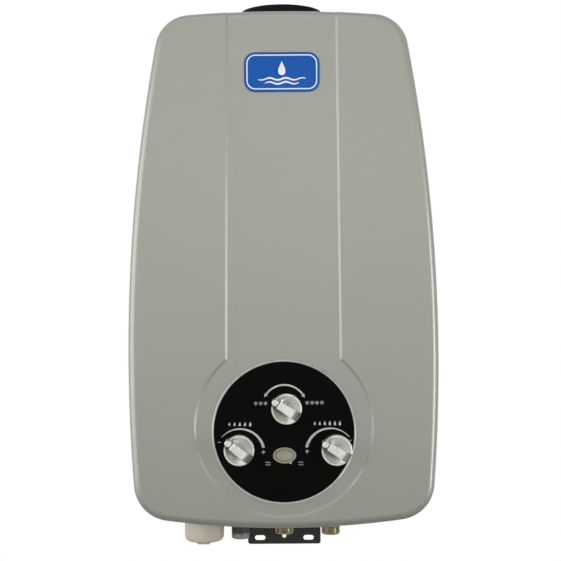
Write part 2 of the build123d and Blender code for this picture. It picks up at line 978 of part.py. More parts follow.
def gas_manifold():
    """Bar that spreads gas to the nozzles, held between the tray's tabs."""
    reach = core_half - core_sheet
    middle = manifold_bottom_z + manifold_height / 2
    bore = manifold_bore_radius
    manifold = block(-reach, reach, manifold_back, manifold_front, manifold_bottom_z, manifold_top_z)
    manifold -= bar(bore, manifold_depth, middle, bore - reach, reach - bore)
    for x in blade_places():
        radius = nozzle_spigot_radius + running_gap
        manifold -= post(radius, x, manifold_depth, middle, manifold_top_z + overrun)
    for x in feed_places():
        radius = feed_radius - feed_wall
        manifold -= post(radius, x, manifold_depth, manifold_bottom_z - overrun, middle)
    return manifold


def gas_nozzles():
    """Brass nozzles seated in the top of the manifold."""
    spigot_z = manifold_top_z - (manifold_height / 2 - manifold_bore_radius) / 2
    top_z = manifold_top_z + nozzle_height
    nozzle = post(nozzle_radius, 0, manifold_depth, manifold_top_z, top_z)
    nozzle += post(nozzle_spigot_radius, 0, manifold_depth, spigot_z, manifold_top_z)
    nozzle -= post(nozzle_orifice_radius, 0, manifold_depth, spigot_z - overrun, top_z + overrun)
    return [Pos(x, 0, 0) * nozzle for x in blade_places()]


def feed_places():
    """X of the two manifold feed pipes."""
    return [season_x - feed_offset, season_x + feed_offset]


def gas_pipes():
    """Riser from the gas valve to the season valve, and two feeds up to the manifold."""
    bore = feed_radius - feed_wall
    riser = [
        point(gas_inlet_x, riser_depth, gas_valve_top_z),
        point(gas_inlet_x, riser_depth, season_z),
        point(season_valve_left, riser_depth, season_z),
    ]
    pipes = [pipe(riser, feed_radius, bore, riser_bend)]
    for x in feed_places():
        feed = post(feed_radius, x, manifold_depth, season_valve_top_z, manifold_bottom_z)
        low = season_valve_top_z - overrun
        pipes.append(feed - post(bore, x, manifold_depth, low, manifold_bottom_z + overrun))
    return pipes


def spindle_bore(x, z, front):
    """Bar that cuts a spindle's bore into a valve body's front."""
    return pin(spindle_radius + running_gap, x, z, front - spindle_insert - overrun, front + overrun)


def season_valve_body():
    """Cast valve that shuts part of the burner in summer."""
    low = season_z - season_valve_height / 2
    right = season_valve_left + season_valve_width
    body = rounded_block(
        season_valve_left, right, season_valve_back, season_valve_front, low, season_valve_top_z
    )
    body -= spindle_bore(season_x, season_z, season_valve_front)
    for x in feed_places():
        radius = feed_radius - feed_wall
        body -= post(radius, x, manifold_depth, season_z, season_valve_top_z + overrun)
    radius = feed_radius - feed_wall
    return body - bar(radius, riser_depth, season_z, season_valve_left - overrun, season_x)


def gas_valve_body():
    """Cast gas valve with its spindle bore, poppet chamber and passages."""
    body = rounded_block(
        gas_valve_left,
        gas_valve_right,
        gas_valve_back,
        gas_valve_front,
        gas_valve_bottom_z,
        gas_valve_top_z,
    )
    body -= spindle_bore(gas_knob_x, gas_knob_z, gas_valve_front)
    body -= bar(chamber_radius, core_depth, membrane_z, gas_valve_left - overrun, poppet_seat_x)
    right = gas_valve_right + overrun
    body -= bar(rod_radius + running_gap, core_depth, membrane_z, poppet_seat_x - overrun, right)
    passage = gas_passage_radius
    body -= post(passage, gas_inlet_x, core_depth, gas_valve_bottom_z - overrun, membrane_z)
    return body - post(passage, gas_inlet_x, riser_depth, gas_knob_z, gas_valve_top_z + overrun)


def gas_valve_plug():
    """Plug that closes the poppet chamber from the left."""
    inner = gas_valve_left + plug_length
    plug = bar(chamber_radius - seat_gap, core_depth, membrane_z, gas_valve_left, inner)
    outer = gas_valve_left - plug_flange
    return plug + bar(plug_flange_radius, core_depth, membrane_z, outer, gas_valve_left)


def solenoid_valve():
    """Safety valve coil screwed into the back of the gas valve."""
    neck_back = gas_valve_back - solenoid_neck
    coil = pin(solenoid_radius, gas_inlet_x, solenoid_z, neck_back - solenoid_length, neck_back)
    coil = fillet(coil.edges(), radius=solenoid_round)
    return coil + pin(solenoid_neck_radius, gas_inlet_x, solenoid_z, neck_back, gas_valve_back)


def screw_circle():
    """Depth and height of each diaphragm screw."""
    places = []
    for index in range(valve_screw_count):
        angle = radians(360 * (index + valve_screw_turn_share) / valve_screw_count)
        depth = core_depth + valve_screw_circle * sin(angle)
        places.append((depth, membrane_z + valve_screw_circle * cos(angle)))
    return places


def water_valve_body():
    """Cast water valve: inlet, spindle bore, pressure side of the diaphragm and outlet boss."""
    body = rounded_block(
        membrane_right_x,
        water_valve_right,
        water_valve_back,
        water_valve_front,
        water_valve_bottom_z,
        water_valve_top_z,
    )
    flange_right = membrane_right_x + water_flange_length
    body += bar(membrane_flange_radius, core_depth, membrane_z, membrane_right_x, flange_right)
    boss_end = water_valve_right + outlet_boss_length
    body += bar(outlet_boss_radius, core_depth, membrane_z, flange_right, boss_end)
    chamber_end = membrane_right_x + membrane_chamber_length
    chamber_start = membrane_right_x - overrun
    body -= bar(membrane_chamber_radius, core_depth, membrane_z, chamber_start, chamber_end)
    body -= bar(tube_bore, core_depth, membrane_z, chamber_start, boss_end + overrun)
    body -= spindle_bore(water_knob_x, water_knob_z, water_valve_front)
    body -= post(stub_bore, cold_inlet_x, core_depth, water_valve_bottom_z - overrun, membrane_z)
    for depth, z in screw_circle():
        body -= bar(valve_screw_radius + seat_gap, depth, z, chamber_start, chamber_end)
    return body


def water_valve_cover():
    """Cast cap on the low-pressure side of the diaphragm."""
    cover = bar(membrane_flange_radius, core_depth, membrane_z, water_cover_left, membrane_left_x)
    start = membrane_left_x - seat_gap - rod_plate_sheet - rod_travel - rod_end_gap
    right = membrane_left_x + overrun
    cover -= bar(membrane_chamber_radius, core_depth, membrane_z, start, right)
    left = water_cover_left - overrun
    cover -= bar(rod_radius + running_gap, core_depth, membrane_z, left, right)
    for depth, z in screw_circle():
        cover -= bar(valve_screw_radius + seat_gap, depth, z, left, right)
    return cover


def diaphragm():
    """Rubber sheet clamped between the two halves of the water valve."""
    sheet = bar(membrane_flange_radius, core_depth, membrane_z, membrane_left_x, membrane_right_x)
    for depth, z in screw_circle():
        left = membrane_left_x - overrun
        right = membrane_right_x + overrun
        sheet -= bar(valve_screw_radius + seat_gap, depth, z, left, right)
    return sheet


def valve_screws():
    """Screws that clamp the diaphragm."""
    seat = water_cover_left
    end = membrane_right_x + membrane_chamber_length - seat_gap
    return [
        bar(valve_screw_radius, depth, z, seat, end)
        + bar(valve_screw_head_radius, depth, z, seat - valve_screw_head_height, seat)
        for depth, z in screw_circle()
    ]


def push_rod():
    """Rod with a plate on the diaphragm, a trip collar and a poppet in the gas valve."""
    plate_right = membrane_left_x - seat_gap
    plate_left = plate_right - rod_plate_sheet
    poppet_right = poppet_seat_x - poppet_gap
    shaft = bar(rod_radius, core_depth, membrane_z, poppet_right - poppet_length, plate_left)
    shaft += bar(rod_plate_radius, core_depth, membrane_z, plate_left, plate_right)
    shaft += bar(poppet_radius, core_depth, membrane_z, poppet_right - poppet_length, poppet_right)
    trip = lever_x + lever_sheet / 2 + lever_gap
    return shaft + bar(trip_collar_radius, core_depth, membrane_z, trip, trip + trip_collar_length)


def microswitch():
    """Switch on the water valve's cover, with an ear and pin for its lever."""
    back = core_depth - switch_width / 2
    front = core_depth + switch_width / 2
    body = block(switch_left, water_cover_left, back, front, switch_bottom_z, switch_top_z)
    ear_front = lever_back_depth - lever_gap
    ear_low = lever_pivot_z - lever_eye_radius
    ear_high = lever_pivot_z + lever_eye_radius
    body += block(lever_x - lever_eye_radius, switch_left, back, ear_front, ear_low, ear_high)
    pin_front = lever_back_depth + lever_width + lever_gap
    return body + pin(lever_pin_radius, lever_x, lever_pivot_z, back, pin_front)


def switch_lever():
    """Thin lever that the push rod's collar swings."""
    front = lever_back_depth + lever_width
    half = lever_sheet / 2
    low = lever_pivot_z - lever_length
    lever = block(lever_x - half, lever_x + half, lever_back_depth, front, low, lever_pivot_z)
    lever += pin(lever_eye_radius, lever_x, lever_pivot_z, lever_back_depth, front)
    hole = lever_pin_radius + running_gap
    return lever - pin(hole, lever_x, lever_pivot_z, lever_back_depth - overrun, front + overrun)


def pipe_fitting(x, end_z, top_z):
    """Threaded stub with a hexagonal flange under the shelf and a neck up through it."""
    flange_top = shelf_z
    flange_low = flange_top - fitting_flange
    stub = post(stub_radius, x, core_depth, end_z, flange_low)
    stub = chamfer(stub.edges().group_by(Axis.Z)[0], length=stub_chamfer)
    flange = hexagon(fitting_across_flats, fitting_flange)
    body = stub + Pos(*point(x, core_depth, flange_low)) * flange
    body += post(fitting_neck_radius, x, core_depth, flange_low, top_z)
    return body - post(stub_bore, x, core_depth, end_z - overrun, top_z + overrun)


def gas_inlet_nipple():
    """Gas connection that carries the gas valve."""
    return pipe_fitting(gas_inlet_x, gas_inlet_end_z, gas_valve_bottom_z)


def hot_outlet_fitting():
    """Hot water connection."""
    return pipe_fitting(hot_outlet_x, hot_outlet_end_z, hot_outlet_top_z)


def cold_inlet_fitting():
    """Cold water connection that carries the water valve."""
    return pipe_fitting(cold_inlet_x, cold_inlet_end_z, water_valve_bottom_z)


def lock_nuts():
    """Nuts that clamp the fittings on the shelf."""
    nuts = []
    for x in (gas_inlet_x, hot_outlet_x, cold_inlet_x):
        nut = hexagon(lock_across_flats, lock_height)
        nut -= Cylinder(fitting_neck_radius + seat_gap, lock_height * 3)
        nuts.append(Pos(*point(x, core_depth, shelf_top_z)) * nut)
    return nuts


def inlet_filter():
    """Slotted strainer cup in the cold inlet."""
    low = cold_inlet_end_z + stub_chamfer
    high = low + filter_length
    cup = post(filter_radius, cold_inlet_x, core_depth, low, high)
    lid = high - (filter_radius - filter_bore)
    cup -= post(filter_bore, cold_inlet_x, core_depth, low - overrun, lid)
    middle = low + filter_length / 2
    slot = Pos(filter_radius, 0, 0) * Box(filter_radius, filter_slot_width, filter_slot_length)
    for index in range(filter_slot_count):
        turn = Rot(0, 0, 360 * index / filter_slot_count)
        cup -= Pos(*point(cold_inlet_x, core_depth, middle)) * turn * slot
    rim = post(stub_bore - seat_gap, cold_inlet_x, core_depth, low, low + stub_chamfer)
    return cup + (rim - post(filter_bore, cold_inlet_x, core_depth, low - overrun, high))


def igniter_box():
    """Pulse igniter case on the back plate."""
    half_width = igniter_width / 2
    half_height = igniter_height / 2
    front = case_sheet + igniter_thickness
    body = block(
        igniter_x - half_width,
        igniter_x + half_width,
        case_sheet,
        front,
        igniter_z - half_height,
        igniter_z + half_height,
    )
    return fillet(body.edges().filter_by(Axis.Y), radius=igniter_round)


def electrode_bracket():
    """Plate on the chamber's front that holds both electrodes."""
    half = electrode_bracket_width / 2
    low = electrode_z - electrode_bracket_height / 2
    high = electrode_z + electrode_bracket_height / 2
    front = core_front + electrode_bracket_sheet
    plate = block(-half, half, core_front, front, low, high)
    for x in (-electrode_x, electrode_x):
        hole = ceramic_radius + seat_gap
        plate -= pin(hole, x, electrode_z, core_front - overrun, front + overrun)
    return plate


def electrode(x):
    """Ceramic rod with a collar on the bracket and a wire tip over the burner."""
    seat = core_front + electrode_bracket_sheet
    body = pin(ceramic_radius, x, electrode_z, electrode_inner_depth, electrode_outer_depth)
    body += pin(ceramic_collar_radius, x, electrode_z, seat, seat + ceramic_collar_length)
    return body + pin(electrode_wire_radius, x, electrode_z, electrode_tip_depth, electrode_inner_depth)


def ignition_electrode():
    """Spark electrode."""
    return electrode(electrode_x)


def flame_sensor():
    """Flame sensing electrode."""
    return electrode(-electrode_x)


def overheat_thermostat():
    """Cut-out disc on the chamber's right side, with two tags."""
    top = core_half + thermostat_height
    body = bar(thermostat_radius, core_depth, thermostat_z, core_half, top)
    for middle in (core_depth - thermostat_tag_offset, core_depth + thermostat_tag_offset):
        body += block(
            top,
            top + thermostat_tag_length,
            middle - thermostat_tag_sheet / 2,
            middle + thermostat_tag_sheet / 2,
            thermostat_z - thermostat_tag_width / 2,
            thermostat_z + thermostat_tag_width / 2,
        )
    return body


def ring_sector(inner, outer, start, sweep_angle, bottom, top):
    """Upright ring sector on the battery axis, from an angle through a sweep."""
    arc = CenterArc((0, 0), outer, start, sweep_angle)
    edges = [Line((0, 0), arc @ 0), arc, Line(arc @ 1, (0, 0))]
    sector = make_face(edges) - Circle(inner)
    base = Plane(origin=point(battery_x, battery_depth, bottom))
    return extrude(base * sector, amount=top - bottom)


def battery_box():
    """Tube for the cells on a web and foot, with two bayonet tracks at its mouth."""
    bottom = battery_tube_bottom_z
    top = battery_tube_top_z
    body = post(battery_tube_radius, battery_x, battery_depth, bottom, top)
    foot_low = battery_foot_z - battery_foot_height / 2
    foot_high = battery_foot_z + battery_foot_height / 2
    foot_front = case_sheet + battery_foot_sheet
    foot_left = battery_x - battery_foot_width / 2
    foot_right = battery_x + battery_foot_width / 2
    web_left = battery_x - battery_web / 2
    web_right = battery_x + battery_web / 2
    body += block(foot_left, foot_right, case_sheet, foot_front, foot_low, foot_high)
    body += block(web_left, web_right, foot_front, battery_depth, foot_low, foot_high)
    body -= post(battery_tube_bore, battery_x, battery_depth, bottom - overrun, top - battery_tube_lid)
    inner = battery_tube_bore - overrun
    outer = battery_tube_radius + overrun
    half = peg_radius + peg_gap
    for base_angle in (0, 180):
        start = base_angle - peg_slack_turn - peg_half_angle()
        run = peg_turn + (peg_slack_turn + peg_half_angle()) * 2
        body -= ring_sector(inner, outer, start, run, peg_z - half, peg_z + half)
        entry = base_angle + peg_turn - peg_slack_turn - peg_half_angle()
        width = (peg_slack_turn + peg_half_angle()) * 2
        body -= ring_sector(inner, outer, entry, width, bottom - overrun, peg_z)
    return body


def peg_half_angle():
    """Half the angle that a bayonet peg takes on the tube's bore."""
    return Vector(1, 0, 0).get_angle(Vector(battery_tube_bore, peg_radius, 0))


def battery_cap():
    """Twist cap with a grip nub underneath and two pegs inside."""
    cap = post(cap_radius, battery_x, battery_depth, cap_bottom_z, cap_top_z)
    cap = fillet(cap.edges().group_by(Axis.Z)[0], radius=cap_edge_round)
    bore = battery_tube_radius + cap_bore_gap
    cap -= post(bore, battery_x, battery_depth, cap_floor_z, cap_top_z + overrun)
    nub = Box(cap_nub_width, cap_nub_length, cap_nub_height, align=BASE)
    nub = fillet(nub.edges().filter_by(Axis.Z) + nub.edges().group_by(Axis.Z)[0], radius=cap_nub_round)
    cap += Pos(*point(battery_x, battery_depth, cap_bottom_z - cap_nub_height)) * nub
    inner = battery_tube_bore + cap_bore_gap
    for side in (-1, 1):
        start = battery_x + side * inner
        end = battery_x + side * (bore + (cap_radius - bore) / 2)
        cap += bar(peg_radius, battery_depth, peg_z, start, end)
    return cap


def cap_contact():
    """Domed contact plate on the cap's floor."""
    plate = post(contact_radius, battery_x, battery_depth, cap_floor_z, cap_floor_z + contact_sheet)
    top = cell_bottom_z - seat_gap
    return plate + post(contact_dome_radius, battery_x, battery_depth, cap_floor_z, top)


def batteries():
    """Cells, one on the other."""
    pitch = cell_length + cell_nub_height
    cells = []
    for index in range(cell_count):
        low = cell_bottom_z + pitch * index
        high = low + cell_length
        cell = post(cell_radius, battery_x, battery_depth, low, high)
        cells.append(cell + post(cell_nub_radius, battery_x, battery_depth, high, low + pitch))
    return cells


def battery_contact():
    """Contact plate under the tube's lid that meets the upper cell."""
    top = battery_tube_top_z - battery_tube_lid
    cell_top = cell_bottom_z + (cell_length + cell_nub_height) * cell_count + seat_gap
    plate = post(contact_radius, battery_x, battery_depth, top - contact_sheet, top)
    return plate + post(contact_dome_radius, battery_x, battery_depth, cell_top, top)


def spindle_places():
    """X and height of the gas, water and season spindles."""
    return [(gas_knob_x, gas_knob_z), (water_knob_x, water_knob_z), (season_x, season_z)]


def display_oval(inset):
    """Front view of the display, drawn in by an inset."""
    oval = Ellipse(display_width / 2 - inset, display_height / 2 - inset)
    return Pos(display_x, display_z) * oval


def control_panel():
    """Round panel on the recess floor, with a spigot in the cover and holes for the controls."""
    centre = Pos(0, panel_z)
    panel = slab(centre * Circle(panel_radius), recess_floor_depth, panel_face_depth)
    front_edge = panel.edges().group_by(Axis.Y)[0]
    panel = fillet(front_edge, radius=panel_edge_round)
    spigot_back = recess_floor_depth - panel_spigot_length
    panel += slab(centre * Circle(panel_spigot_radius), spigot_back, recess_floor_depth)
    front = panel_face_depth + overrun
    for x, z in spindle_places():
        panel -= pin(spindle_radius + spindle_hole_gap, x, z, spigot_back - overrun, front)
    panel -= slab(display_oval(display_ledge), spigot_back - overrun, front)
    return panel


def panel_bezel():
    """Bright ring around the panel."""
    inner = panel_radius + panel_gap
    ring = Pos(0, panel_z) * (Circle(inner + bezel_width) - Circle(inner))
    bezel = slab(ring, recess_floor_depth, recess_floor_depth + bezel_height)
    return fillet(bezel.edges().group_by(Axis.Y)[0], radius=bezel_round)


def display_frame():
    """Oval rim on the panel with a sleeve through it."""
    sleeve_back = recess_floor_depth - panel_spigot_length
    rim_front = panel_face_depth + display_rim_lift
    frame = slab(display_oval(0), panel_face_depth, rim_front)
    frame += slab(display_oval(display_ledge + display_gap), sleeve_back, panel_face_depth)
    return frame - slab(display_oval(display_rim), sleeve_back - overrun, rim_front + overrun)


def display_window():
    """Oval window just below the rim's front."""
    front = panel_face_depth + display_rim_lift - window_sink
    return slab(display_oval(display_rim + display_gap), front - window_thickness, front)


def display_module():
    """Display board behind the panel."""
    front = recess_floor_depth - panel_spigot_length
    return block(
        display_x - module_width / 2,
        display_x + module_width / 2,
        front - module_thickness,
        front,
        display_z - module_height / 2,
        display_z + module_height / 2,
    )


def spindle_end(radius, flat, length):
    """Round end with one flat, on +Z."""
    end = Cylinder(radius, length, align=BASE)
    cut = Box(radius * 2, radius * 2, length * 2, align=(Align.CENTER, Align.MIN, Align.MIN))
    return end - Pos(0, flat, -overrun) * cut


def knob_bar():
    """Grip bar with a sloping far end, widest there."""
    side = Polygon(
        (knob_bar_start, knob_floor),
        (knob_bar_start, knob_height),
        (-knob_slope_start, knob_height),
        (-knob_radius, knob_skirt_height),
        (-knob_radius, knob_floor),
        align=None,
    )
    profile = extrude(Plane.XZ * side, amount=knob_bar_far_half, both=True)
    plan = Polygon(
        (knob_bar_start, knob_bar_near_half),
        (-knob_radius, knob_bar_far_half),
        (-knob_radius, -knob_bar_far_half),
        (knob_bar_start, -knob_bar_near_half),
        align=None,
    )
    grip = profile & extrude(plan, amount=knob_height + overrun)
    grip = fillet(grip.edges().group_by(Axis.Z)[-1], radius=knob_bar_round)
    return grip & Cylinder(knob_radius, knob_height + overrun, align=BASE)


def knob():
    """Control knob with its axis on +Z and its pointer along +X."""
    skirt = Cylinder(knob_radius, knob_skirt_height, align=BASE)
    skirt = fillet(skirt.edges().group_by(Axis.Z)[-1], radius=knob_lip_round)
    dish_half = knob_radius - knob_lip
    dish_radius = (dish_half ** 2 + knob_dish_depth ** 2) / (knob_dish_depth * 2)
    dish = Pos(0, 0, knob_skirt_height + dish_radius - knob_dish_depth) * Sphere(dish_radius)
    nub = Cylinder(knob_nub_radius, knob_height - knob_nub_drop - knob_nub_bottom, align=BASE)
    nub = fillet(nub.edges().group_by(Axis.Z)[-1], radius=knob_bar_round)
    body = skirt - dish + knob_bar() + Pos(knob_nub_offset, 0, knob_nub_bottom) * nub
    bore = spindle_end(spindle_radius + spindle_fit_gap, spindle_flat + spindle_fit_gap, spindle_grip)
    return body - bore


def knob_plane(x, z, angle):
    """Plane at a knob's base, with its pointer at an angle from +X."""
    pointer = (cos(radians(angle)), 0, sin(radians(angle)))
    return Plane(origin=point(x, knob_base_depth, z), x_dir=pointer, z_dir=(0, -1, 0))


def spindle(valve_front):
    """Valve spindle on +Z with its knob end from the origin up."""
    reach = knob_base_depth - valve_front
    shaft = Cylinder(spindle_radius, reach + spindle_insert, align=BASE)
    shoulder = Cylinder(spindle_shoulder_radius, spindle_shoulder_length, align=BASE)
    body = Pos(0, 0, -reach - spindle_insert) * shaft
    body += Pos(0, 0, seat_gap - reach) * shoulder
    return body + spindle_end(spindle_radius, spindle_flat, spindle_grip - seat_gap)


def gas_knob():
    """Left knob."""
    return knob_plane(gas_knob_x, gas_knob_z, gas_pointer_angle) * knob()


def water_knob():
    """Right knob."""
    return knob_plane(water_knob_x, water_knob_z, water_pointer_angle) * knob()


def season_knob():
    """Top knob."""
    return knob_plane(season_x, season_z, season_pointer_angle) * knob()


def gas_spindle():
    """Spindle of the gas valve."""
    return knob_plane(gas_knob_x, gas_knob_z, gas_pointer_angle) * spindle(gas_valve_front)


def water_spindle():
    """Spindle of the water valve."""
    return knob_plane(water_knob_x, water_knob_z, water_pointer_angle) * spindle(water_valve_front)


def season_spindle():
    """Spindle of the season valve."""
    return knob_plane(season_x, season_z, season_pointer_angle) * spindle(season_valve_front)


def badge_plate():
    """Plain rounded plate on the recess floor near the top."""
    outline = Pos(0, badge_z) * RectangleRounded(badge_width, badge_height, badge_corner)
    plate = slab(outline, recess_floor_depth, recess_floor_depth + badge_thickness)
    return fillet(plate.edges().group_by(Axis.Y)[0], radius=badge_edge_round)


def wiring():
    """Leads from the igniter box to both electrodes, round the right side of the burner."""
    igniter_front = case_sheet + igniter_thickness
    leads = []
    for x, row in ((electrode_x, 0), (-electrode_x, 1)):
        shift = lead_pitch * row
        low = lead_low_z - shift
        route = [
            point(lead_side_x, igniter_front, low),
            point(lead_side_x, lead_front_depth, low),
            point(lead_side_x, lead_front_depth, electrode_z + shift),
            point(x, lead_front_depth, electrode_z),
            point(x, electrode_outer_depth, electrode_z),
        ]
        leads.append(pipe(route, lead_radius, lead_core_radius, lead_bend))
    return leads


NODES = [
    front_cover,
    back_plate,
    cover_screws,
    hanger_bracket,
    lower_bracket,
    bracket_rivets,
    fitting_shelf,
    flue_collar,
    draft_hood,
    combustion_chamber,
    core_brackets,
    exchanger_fins,
    exchanger_tube,
    cold_feed_pipe,
    hot_outlet_pipe,
    union_nuts,
    burner_tray,
    burner_blades,
    gas_manifold,
    gas_nozzles,
    gas_pipes,
    season_valve_body,
    season_spindle,
    gas_valve_body,
    gas_valve_plug,
    gas_spindle,
    solenoid_valve,
    gas_inlet_nipple,
    water_valve_body,
    water_valve_cover,
    diaphragm,
    push_rod,
    valve_screws,
    water_spindle,
    cold_inlet_fitting,
    inlet_filter,
    hot_outlet_fitting,
    lock_nuts,
    microswitch,
    switch_lever,
    igniter_box,
    electrode_bracket,
    ignition_electrode,
    flame_sensor,
    overheat_thermostat,
    battery_box,
    battery_cap,
    cap_contact,
    batteries,
    battery_contact,
    control_panel,
    panel_bezel,
    display_frame,
    display_window,
    display_module,
    gas_knob,
    water_knob,
    season_knob,
    badge_plate,
    wiring,
]

os.makedirs("parts", exist_ok=True)
for make in NODES:
    made = make()
    shape = Compound(children=made) if isinstance(made, list) else made
    export_step(shape, f"parts/{make.__name__}.step")
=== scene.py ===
"""Looks of a wall-hung instantaneous gas water heater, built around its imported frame."""

import logging
import math
from dataclasses import dataclass, field
from enum import Enum
from functools import lru_cache
from typing import Callable, Iterable, Optional, Sequence, Union

import bmesh
import bpy
import numpy as np
from mathutils import Matrix, Vector
from mathutils.geometry import delaunay_2d_cdt


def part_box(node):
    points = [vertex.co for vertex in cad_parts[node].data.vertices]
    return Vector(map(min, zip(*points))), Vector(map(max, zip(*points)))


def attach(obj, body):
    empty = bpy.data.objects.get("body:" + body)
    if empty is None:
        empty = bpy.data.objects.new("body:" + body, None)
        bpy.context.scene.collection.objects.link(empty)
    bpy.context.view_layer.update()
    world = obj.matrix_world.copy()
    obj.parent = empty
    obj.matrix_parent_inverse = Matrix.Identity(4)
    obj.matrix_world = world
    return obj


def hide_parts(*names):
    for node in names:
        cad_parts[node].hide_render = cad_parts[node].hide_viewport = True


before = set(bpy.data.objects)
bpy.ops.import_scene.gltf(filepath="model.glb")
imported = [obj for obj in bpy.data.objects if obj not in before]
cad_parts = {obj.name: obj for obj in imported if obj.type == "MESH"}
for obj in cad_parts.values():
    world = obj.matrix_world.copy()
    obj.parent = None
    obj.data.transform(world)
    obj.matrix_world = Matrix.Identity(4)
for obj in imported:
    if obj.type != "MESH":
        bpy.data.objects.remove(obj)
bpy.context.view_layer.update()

log = logging.getLogger("heater")

MM = 0.001
TURN = 2 * math.pi
QUARTER = math.pi / 2
MIDDLE = 0.5
NEAR_ZERO = 1e-9
MERGE = 1e-7
EVEN = (1.0, 1.0, 1.0)
LEVEL = (1.0, 1.0, 0.0)
BLACK = (0.0, 0.0, 0.0)
WHITE = (1.0, 1.0, 1.0)
OPAQUE = 1.0
MIX_FACTOR, MIX_LOW, MIX_HIGH, MIX_RESULT = 0, 6, 7, 2
BODY = "casing"

Colour = tuple[float, float, float]
Solid = tuple[float, float, float]
Flat = tuple[float, float]
Face = tuple[int, ...]
Value = Union["Link", float, int]
Feed = Union[Value, Sequence[float]]


class Link:
    """Output socket of a shader node that takes part in Python expressions."""

    def __init__(self, graph: "Graph", socket: bpy.types.NodeSocket) -> None:
        """Keep the graph and the socket."""
        self.graph = graph
        self.socket = socket

    def _math(self, operation: str, first: Value, second: Value) -> "Link":
        """One Math node on two values."""
        return self.graph.node("ShaderNodeMath", {"operation": operation}, {0: first, 1: second})

    def __add__(self, other: Value) -> "Link":
        """Sum."""
        return self._math("ADD", self, other)

    def __sub__(self, other: Value) -> "Link":
        """Difference."""
        return self._math("SUBTRACT", self, other)

    def __rsub__(self, other: Value) -> "Link":
        """Difference with the number first."""
        return self._math("SUBTRACT", other, self)

    def __mul__(self, other: Value) -> "Link":
        """Product."""
        return self._math("MULTIPLY", self, other)

    __radd__ = __add__
    __rmul__ = __mul__

    def at_least(self, other: Value) -> "Link":
        """The higher of two values."""
        return self._math("MAXIMUM", self, other)

    def swing(self, width: float) -> "Link":
        """A level from 0 to 1 turned into a swing around zero."""
        return (self - MIDDLE) * width

    def step(self, low: float, high: float) -> "Link":
        """Smooth rise from 0 at low to 1 at high."""
        settings = {"interpolation_type": "SMOOTHSTEP", "clamp": True}
        return self.graph.node("ShaderNodeMapRange", settings, {"Value": self, "From Min": low, "From Max": high})


class Pattern(Enum):
    """Kinds of noise."""

    CLOUDS = "ShaderNodeTexNoise"
    CELLS = "ShaderNodeTexVoronoi"


@dataclass(frozen=True)
class Grain:
    """Noise: waves per metre, octaves, levels that it is eased between, and factor on each axis."""

    scale: float
    detail: float
    eased: Optional[Flat] = None
    stretch: Solid = EVEN
    pattern: Pattern = Pattern.CLOUDS


